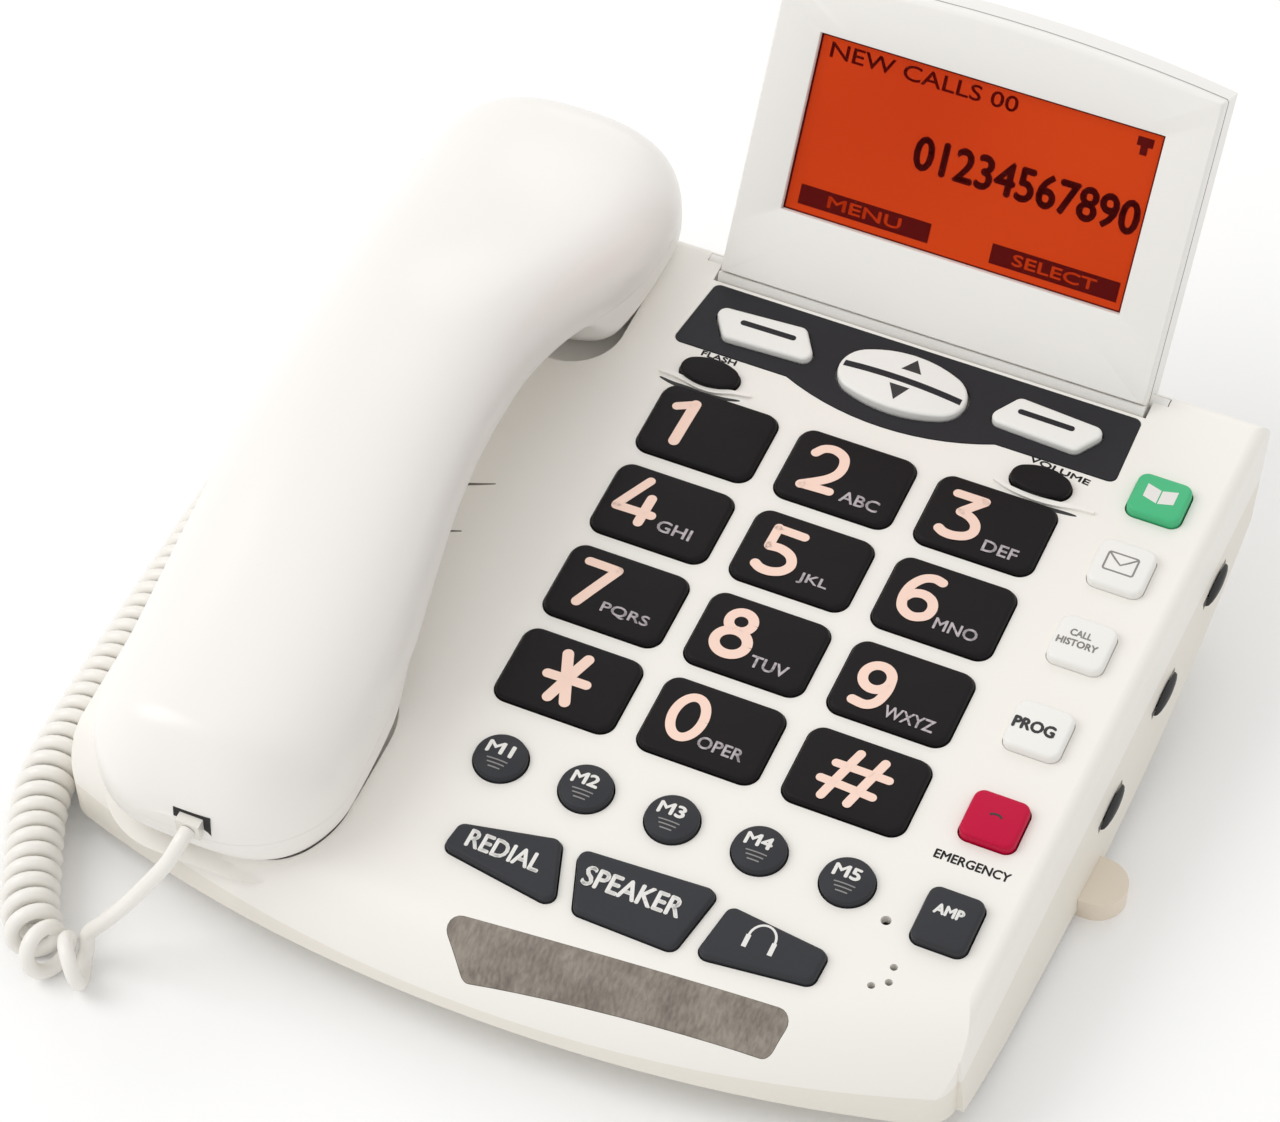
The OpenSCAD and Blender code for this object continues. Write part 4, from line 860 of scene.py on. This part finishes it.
def rayRing(outline, centre, angles):
    # Where rays from the centre meet a star-shaped outline: each ray is cut with the side it crosses.
    d = outline - centre
    a = np.arctan2(d[:, 1], d[:, 0])
    order = np.argsort(a)
    a, p = a[order], d[order]
    k = np.searchsorted(a, angles) % len(a)
    b, q = p[k - 1], p[k]
    u = np.stack([np.cos(angles), np.sin(angles)], -1)
    e = q - b
    t = (b[:, 0] * e[:, 1] - b[:, 1] * e[:, 0]) / (u[:, 0] * e[:, 1] - u[:, 1] * e[:, 0])
    return centre + u * t[:, None]


def makeDisplay():
    h = head
    x0, y0, x1, y1 = h["window"]
    centre = np.array([(x0 + x1) / 2, (y0 + y1) / 2])
    corners = np.concatenate([cornersOf(x0, y0, x1, y1), headOutline(0)]) - centre
    angles = np.unique(np.concatenate([np.linspace(-np.pi, np.pi, 180, endpoint=False),
                                       np.arctan2(corners[:, 1], corners[:, 0])]))

    def windowRing(g, z):
        s = cornersOf(x0 - g, y0 - g, x1 + g, y1 + g)[:, None]
        side = s + np.linspace(0, 1, 24, endpoint=False)[:, None] * (np.roll(s, -1, axis=0) - s)
        return raised(rayRing(side.reshape(-1, 2), centre, angles), z)

    def outerRing(g, z):
        return raised(rayRing(headOutline(g), centre, angles), z)

    f, e, b = h["face"], h["edge"], h["face"] - h["thick"]
    rows = [windowRing(0.02, b), windowRing(0.02, f - 0.4), windowRing(0.12, f - 0.12), windowRing(0.4, f)]
    for a in np.radians([90, 70, 50, 30, 15, 0]):
        rows.append(outerRing(-e * (1 - math.cos(a)), f - e * (1 - math.sin(a))))
    rows.append(outerRing(0, b))
    v, q = ringed(np.array(rows))
    piece("display_bezel", [(onDisplay(v), q, finishes["head"])], "display", ("display_front",))
    # grey band round the outline at the joint of front and back: painted shade of the seam between them
    seam = [outerRing(0.06, b - 0.5), outerRing(0.06, b + 0.1), outerRing(-0.2, b + 0.1), outerRing(-0.2, b - 0.5)]
    v, q = ringed(np.array(seam))
    piece("display_seam", [(onDisplay(v), q, finishes["paintedSeamShade"])], "display", ())


def makeScreen():
    # Dark marks on the lit panel: a status row, a generic row of digits, and two function words on dark bars.
    h = head
    z = flat(h["screen"])
    x0, y0, x1, y1 = h["window"]
    w, t = x1 - x0, y1 - y0

    def bars(finish, lift, *boxes):  # boxes: left, foot, width, height
        shapes = [filled(cornersOf(x, y, x + w, y + t)) for x, y, w, t in boxes]
        return laid(shapes, z, finish, lift, onDisplay)
    parts = bars("screen", -0.05, (x0, y0, w, t))
    parts += bars("lcdInk", 0.02, (-36.2, 20.1, 30.4, 4.5), (8.4, 20.1, 29.2, 4.5))
    for text, height, at, wide, weight, finish, lift in h["texts"]:
        parts += laid(boldText(text, height, at, wide, weight), z, finish, lift, onDisplay)
    parts += bars("lcdInk", 0.02, (33.4, 54.8, 3.6, 2.0), (34.4, 52.9, 1.6, 1.9))
    parts += bars("lcdInk", 0.01, (x0, y1 - 0.55, w, 0.55), (x1 - 0.5, y0, 0.5, t), (x0, y0, 0.45, t),
                  (x0, y0, w, 0.3))
    piece("screen_marks", parts, "display")


makeDisplay()
makeScreen()
print("stage: display made")


trims = {
    "lip": {"left": [[-48.6, 47.9], [-45.5, 48.0], [-42.3, 47.6], [-38.8, 46.9], [-35.2, 47.0], [-31.6, 48.1],
                     [-27.4, 48.7]],
            "right": [[29.0, 48.2], [33.4, 47.0], [38.6, 46.5], [43.6, 46.8], [48.0, 47.6], [51.8, 47.7]]},
    # painted shadow of each eyebrow on the panel: a dark line under its lip
    "shade": {"left": [[-48.0, 46.6], [-44.8, 46.0], [-41.2, 45.9], [-37.4, 45.6], [-33.0, 46.1], [-29.2, 47.0]],
              "right": [[33.6, 45.4], [36.6, 45.1], [40.0, 45.2], [44.2, 45.5], [48.6, 45.8]]},
    # painted shade in a slit round a tab under the grip; only its two ends show beside the handset
    "tab": [[-68.0, 5.5], [-71.1, 4.1], [-74.2, 2.8], [-79, 0.8], [-83.4, -1.4], [-85.2, -3.6], [-85.6, -7.6],
            [-85.2, -11.8], [-83.6, -13.6], [-81.4, -13.7], [-77.6, -12.4], [-74.0, -10.9], [-71.6, -9.9],
            [-69.2, -8.9]],
    # text, middle, width, height, turn in degrees
    "words": [("FLASH", (-38.2, 56.4), 8.0, 1.4, 0), ("VOLUME", (41.0, 56.0), 14.0, 1.5, -6),
              ("EMERGENCY", (60.8, -45.3), 16.0, 2.1, 0)],
}


def makeTrims():
    # Raised eyebrow below each oval key with a painted shadow line under it, the painted shade of a slit round a tab
    # under the grip, and the small words printed on the case.
    parts = []
    for side in ("left", "right"):
        line = smoothPath(trims["lip"][side], 6)
        u = np.linspace(-1, 1, len(line))
        v, f = stroke(line, 1.3 * np.sqrt(1 - 0.85 * u ** 2), 0.4)
        parts.append((onPanel(v + [0, 0, 0.35]), f, finishes["case"]))
        # painted shadow line under the eyebrow, in the dark ink that also prints the words
        line = smoothPath(trims["shade"][side], 6)
        u = np.linspace(-1, 1, len(line))
        parts += laid([stroke(line, 1.1 * np.sqrt(1.02 - u ** 2))], flat(0), "darkInkAndShadow")
    # painted shade of the slit, narrowing towards both ends
    slit = smoothPath(trims["tab"], 5)
    u = np.abs(np.linspace(-1, 1, len(slit)))
    parts += laid([stroke(slit, 0.9 - 0.65 * np.clip((u - 0.6) / 0.4, 0, 1))], flat(0), "tabShade")
    for text, at, w, h, turn in trims["words"]:
        parts += laid(boldText(text, h, at, w, 0.16, turn), flat(0), "darkInkAndShadow")
    piece("case_words", parts, "base")


sliders = {
    "yz": [(52.7, -16.6), (22.6, -18.3), (-7.5, -20.2)], "wallX": 73.5, "front": -109, "flare": 4.3 / 196,
    "draft": 0.08, "long": 6.2, "high": 1.7, "from": 0.25, "out": 1.4,
}


def makeSliders():
    # Lens-shaped dark domes on the side wall, each with a stem through its slot.
    k = sliders
    t = np.linspace(0, 2 * np.pi, 48, endpoint=False)
    pointed = np.abs(np.sin(t)) ** 1.35 * np.sign(np.sin(t))
    steps = np.radians([0, 20, 40, 58, 74, 84])
    for i, (y, z) in enumerate(k["yz"]):
        rows = []
        for x, s in [(0, 1)] + [(0.25 + (k["out"] - 0.25) * math.sin(a), math.cos(a)) for a in steps]:
            ring = s * np.stack([k["long"] * np.cos(t), k["high"] * pointed], -1)
            rows.append(np.c_[np.full(48, k["from"] + x), ring])
        dome = lofted(np.array(rows))
        box = rectangle(6.6, 1.6, 0.3)
        stem = lofted(np.stack([np.c_[np.full(len(box), x), box] for x in (-2.2, 0.35)]))
        at = np.array([k["wallX"] + (y - k["front"]) * k["flare"] - k["draft"] * z, y, z])

        def place(v):
            x, y = spun(v[:, 0], v[:, 1], -math.atan(k["flare"]))
            return onPanel(np.stack([x, y, v[:, 2]], -1) + at)
        parts = [(place(v), f, finishes["knob"]) for v, f in (dome, stem)]
        keyPiece("slider_" + str(i + 1), "slider_dome_" + str(i + 1), parts)


makeTrims()
makeSliders()
print("stage: trims made")


handset = {
    "x": -88.7, "ear": 29.6, "grip": 23.5, "mouth": 27.8, "earReach": 98.5, "mouthReach": 104.2,
    "earRound": 21.5, "mouthRound": 22.2, "cup": -5.7, "under": 20.0, "top": 43.3, "upper": 0.84, "lower": 0.64,
    "stations": 150, "arc": 48,
    "nose": 12, "blunt": 0.17,  # round of the two ends seen from the side, and what height is left at the tip
    "middle": 25, "earDrop": 15.8, "mouthDrop": 17.7, "earTop": 25.5, "mouthTop": 31.5,  # seam and top, mm
}


def ease(a, b, y):
    # Half cosine from 0 at a to 1 at b.
    return (1 - np.cos(np.pi * np.clip((y - a) / (b - a), 0, 1))) / 2


def handsetAt(y):
    # Half width, height factor of the ends, seam, top, underside and middle line of the handset at y.
    h = handset
    w = h["grip"] + (h["ear"] - h["grip"]) * ease(11, 65, y) + (h["mouth"] - h["grip"]) * (1 - ease(-70, 8, y))
    e, m = h["earRound"], h["mouthRound"]
    a, b = h["earReach"] - e, m - h["mouthReach"]
    w -= np.where(y > a, e - np.sqrt(np.maximum(0, e ** 2 - (y - a) ** 2)),
                  np.where(y < b, m - np.sqrt(np.maximum(0, m ** 2 - (b - y) ** 2)), 0))
    a, b = h["earReach"] - h["nose"], h["nose"] - h["mouthReach"]
    q = np.where(y > a, y - a, np.where(y < b, b - y, 0)) / h["nose"]
    high = np.maximum(h["blunt"], np.sqrt(np.maximum(0, 1 - q * q)))
    seam = h["middle"] - h["earDrop"] * ease(10, 76, y) - h["mouthDrop"] * (1 - ease(-88, 0, y))
    top = h["top"] - (h["top"] - h["earTop"]) * ease(10, 82, y) - (h["top"] - h["mouthTop"]) * (1 - ease(-95, -5, y))
    under = h["cup"] + (h["under"] - h["cup"]) * ease(-62, -47, y) * (1 - ease(35, 54, y))
    return w, high, seam, top, under, h["x"] + 1.2 * ease(0, 80, y) + 2.9 * (1 - ease(-80, 0, y))


def handsetRows(up):
    # One half: at each station a superellipse arc (w cos^p a, seam + h sin^p a), closed flat along the seam.
    h = handset
    t = np.linspace(-1, 1, h["stations"])
    y = (h["earReach"] - h["mouthReach"]) / 2 + (h["earReach"] + h["mouthReach"]) / 2 * np.sin(t * np.pi / 2)
    w, high, seam, top, under, middle = handsetAt(y)
    p = h["upper"] if up > 0 else h["lower"]
    a = np.pi * np.linspace(0, 1, h["arc"] + 1)
    high = np.abs((top if up > 0 else under) - seam) * high
    x = np.sign(np.cos(a)) * np.abs(np.cos(a)) ** p
    z = np.sin(a).clip(0) ** p
    rows = np.stack([middle[:, None] + w[:, None] * x, np.broadcast_to(y[:, None], (len(y), len(a))),
                     seam[:, None] - (0 if up > 0 else 0.06) + up * high[:, None] * z], -1)
    flatSide = np.linspace(rows[:, -1], rows[:, 0], 6, axis=1)[:, 1:-1]
    rows = np.concatenate([rows, flatSide], 1)
    return rows if up < 0 else rows[:, ::-1]


def makeHandset():
    for up, name in ((1, "handset_top"), (-1, "handset_bottom")):
        v, f = lofted(handsetRows(up))
        parts = [(onPanel(v), f, finishes["handset"])]
        piece(name.replace("handset_", "handset_shell_"), parts, "handset", (name,), 50)


seat = {
    "at": (-85.8, -75.0), "half": 26.6, "front": -103.2, "corner": 19.0, "floor": -6.2, "gap": 0.4,
    "bow": 280, "roll": 17, "middle": -23.5, "reach": -109.0,
    # part of the way from the handset to the rim, and depth under the case; None is the floor
    "rings": ((0, None), (0, 0.25), (0.03, 0.06), (0.12, 0), (0.35, 0), (0.6, 0), (0.85, 0), (1, 0), (1, None)),
}


def caseTop(x, y):
    # Height of the case: flat panel, then the roll over the bowed front edge.
    rho = np.hypot(x - seat["middle"], y - seat["reach"] - seat["bow"])
    over = np.clip(rho - seat["bow"] + seat["roll"], 0, seat["roll"])
    return np.sqrt(seat["roll"] ** 2 - over ** 2) - seat["roll"]


def insideHandset(x, y, z):
    # True where a point lies in the lower half of the handset.
    w, high, seam, _, under, middle = handsetAt(y)
    deep = np.clip((seam - z) / ((seam - under) * high), 0, 1) ** (1 / handset["lower"])
    inside = np.abs(x - middle) < w * np.sqrt(1 - deep ** 2) ** handset["lower"]
    return inside & (y > -handset["mouthReach"]) & (deep < 1)


def makeSeat():
    # Fills the front of the mouth well, from its rim to just short of the handset, level with the case.
    k = seat
    phi = np.radians(np.linspace(-10, -175, 90))
    d = np.stack([np.cos(phi), np.sin(phi)], -1)[:, None]
    r = np.linspace(10, 40, 1201)[None, :, None]
    p = np.array(k["at"]) + d * r
    x, y = p[..., 0], p[..., 1]
    q = np.stack([np.abs(x - k["at"][0]) - k["half"] + k["corner"], k["front"] + k["corner"] - y], -1)
    out = np.hypot(*np.maximum(q, 0).transpose(2, 0, 1)) + np.minimum(q.max(-1), 0) - k["corner"]
    rim = r[0, (out < 0).sum(1) - 1, 0]
    inner = np.max(np.where(insideHandset(x, y, caseTop(x, y)), r[..., 0], 0), 1) + k["gap"]
    inner = np.minimum(inner, rim - 0.05)
    rows = []
    for f, drop in k["rings"]:
        rr = (inner + (rim + 0.03 - inner) * f)[:, None]
        xy = np.array(k["at"]) + d[:, 0] * rr
        top = np.maximum(caseTop(xy[:, 0], xy[:, 1]), k["floor"] + 0.1) - (drop or 0)
        rows.append(np.c_[xy, np.full(len(phi), k["floor"]) if drop is None else top])
    v, f = lofted(np.stack(rows, 1))
    piece("cradle_seat", [(onPanel(v), f, finishes["case"])], "base", ())


def makeHandsetMarks():
    # Painted shade for openings: a dark sheet over the plug's recess in the nose, and dark discs for the ear and
    # mouth holes on the underside.
    h = handset
    z = np.linspace(7.7, 14.3, 9)
    low = h["middle"] - h["mouthDrop"]
    high = np.clip(np.maximum(z - low, 0) / (h["mouthTop"] - low), h["blunt"], 1)
    y = h["nose"] - h["mouthReach"] - h["nose"] * np.sqrt(1 - high ** 2) - 0.06
    sides = ((-4.1, 0), (4.1, 0), (4.1, 0.8), (-4.1, 0.8))
    v = np.stack([np.stack([np.full(9, curl["plug"][0] + a), y + b, z], -1) for a, b in sides], 1).reshape(-1, 3)
    f = gridQuads(9, 4).tolist() + [[0, 3, 2, 1], [32, 33, 34, 35]]
    # painted shade of the recess and holes, laid on the closed shells
    dark = finishes["paintedHoleShade"]
    parts = [(onPanel(v), f, dark)]
    holes = [(at, 1.0) for at in circle((-87.6, 68.5), 6, 6, 6)] + [((-85.8, 26.5 - h["mouthReach"]), 1.2)]
    for at, r in holes:
        v, q = filled(circle(at, r, r, 16))
        parts.append((onPanel(v + [0, 0, h["cup"]]), q, dark))
    piece("handset_marks", parts, "handset")


makeHandset()
makeSeat()
makeHandsetMarks()
print("stage: handset made")


def makeFloor():
    # Level sheet under the telephone.
    n = 17
    x = np.linspace(-3, 3, n)
    gx, gy = np.meshgrid(x, x, indexing="xy")
    mesh = bpy.data.meshes.new("floor")
    mesh.from_pydata(np.stack([gx, gy, 0 * gx], -1).reshape(-1, 3).tolist(), [], gridQuads(n, n, False).tolist())
    mesh.materials.append(moulded("floorPaint", "#fdfdfd", 0.75, 0.0, 400, 0.01))
    obj = addObject("floor", mesh)


makeFloor()
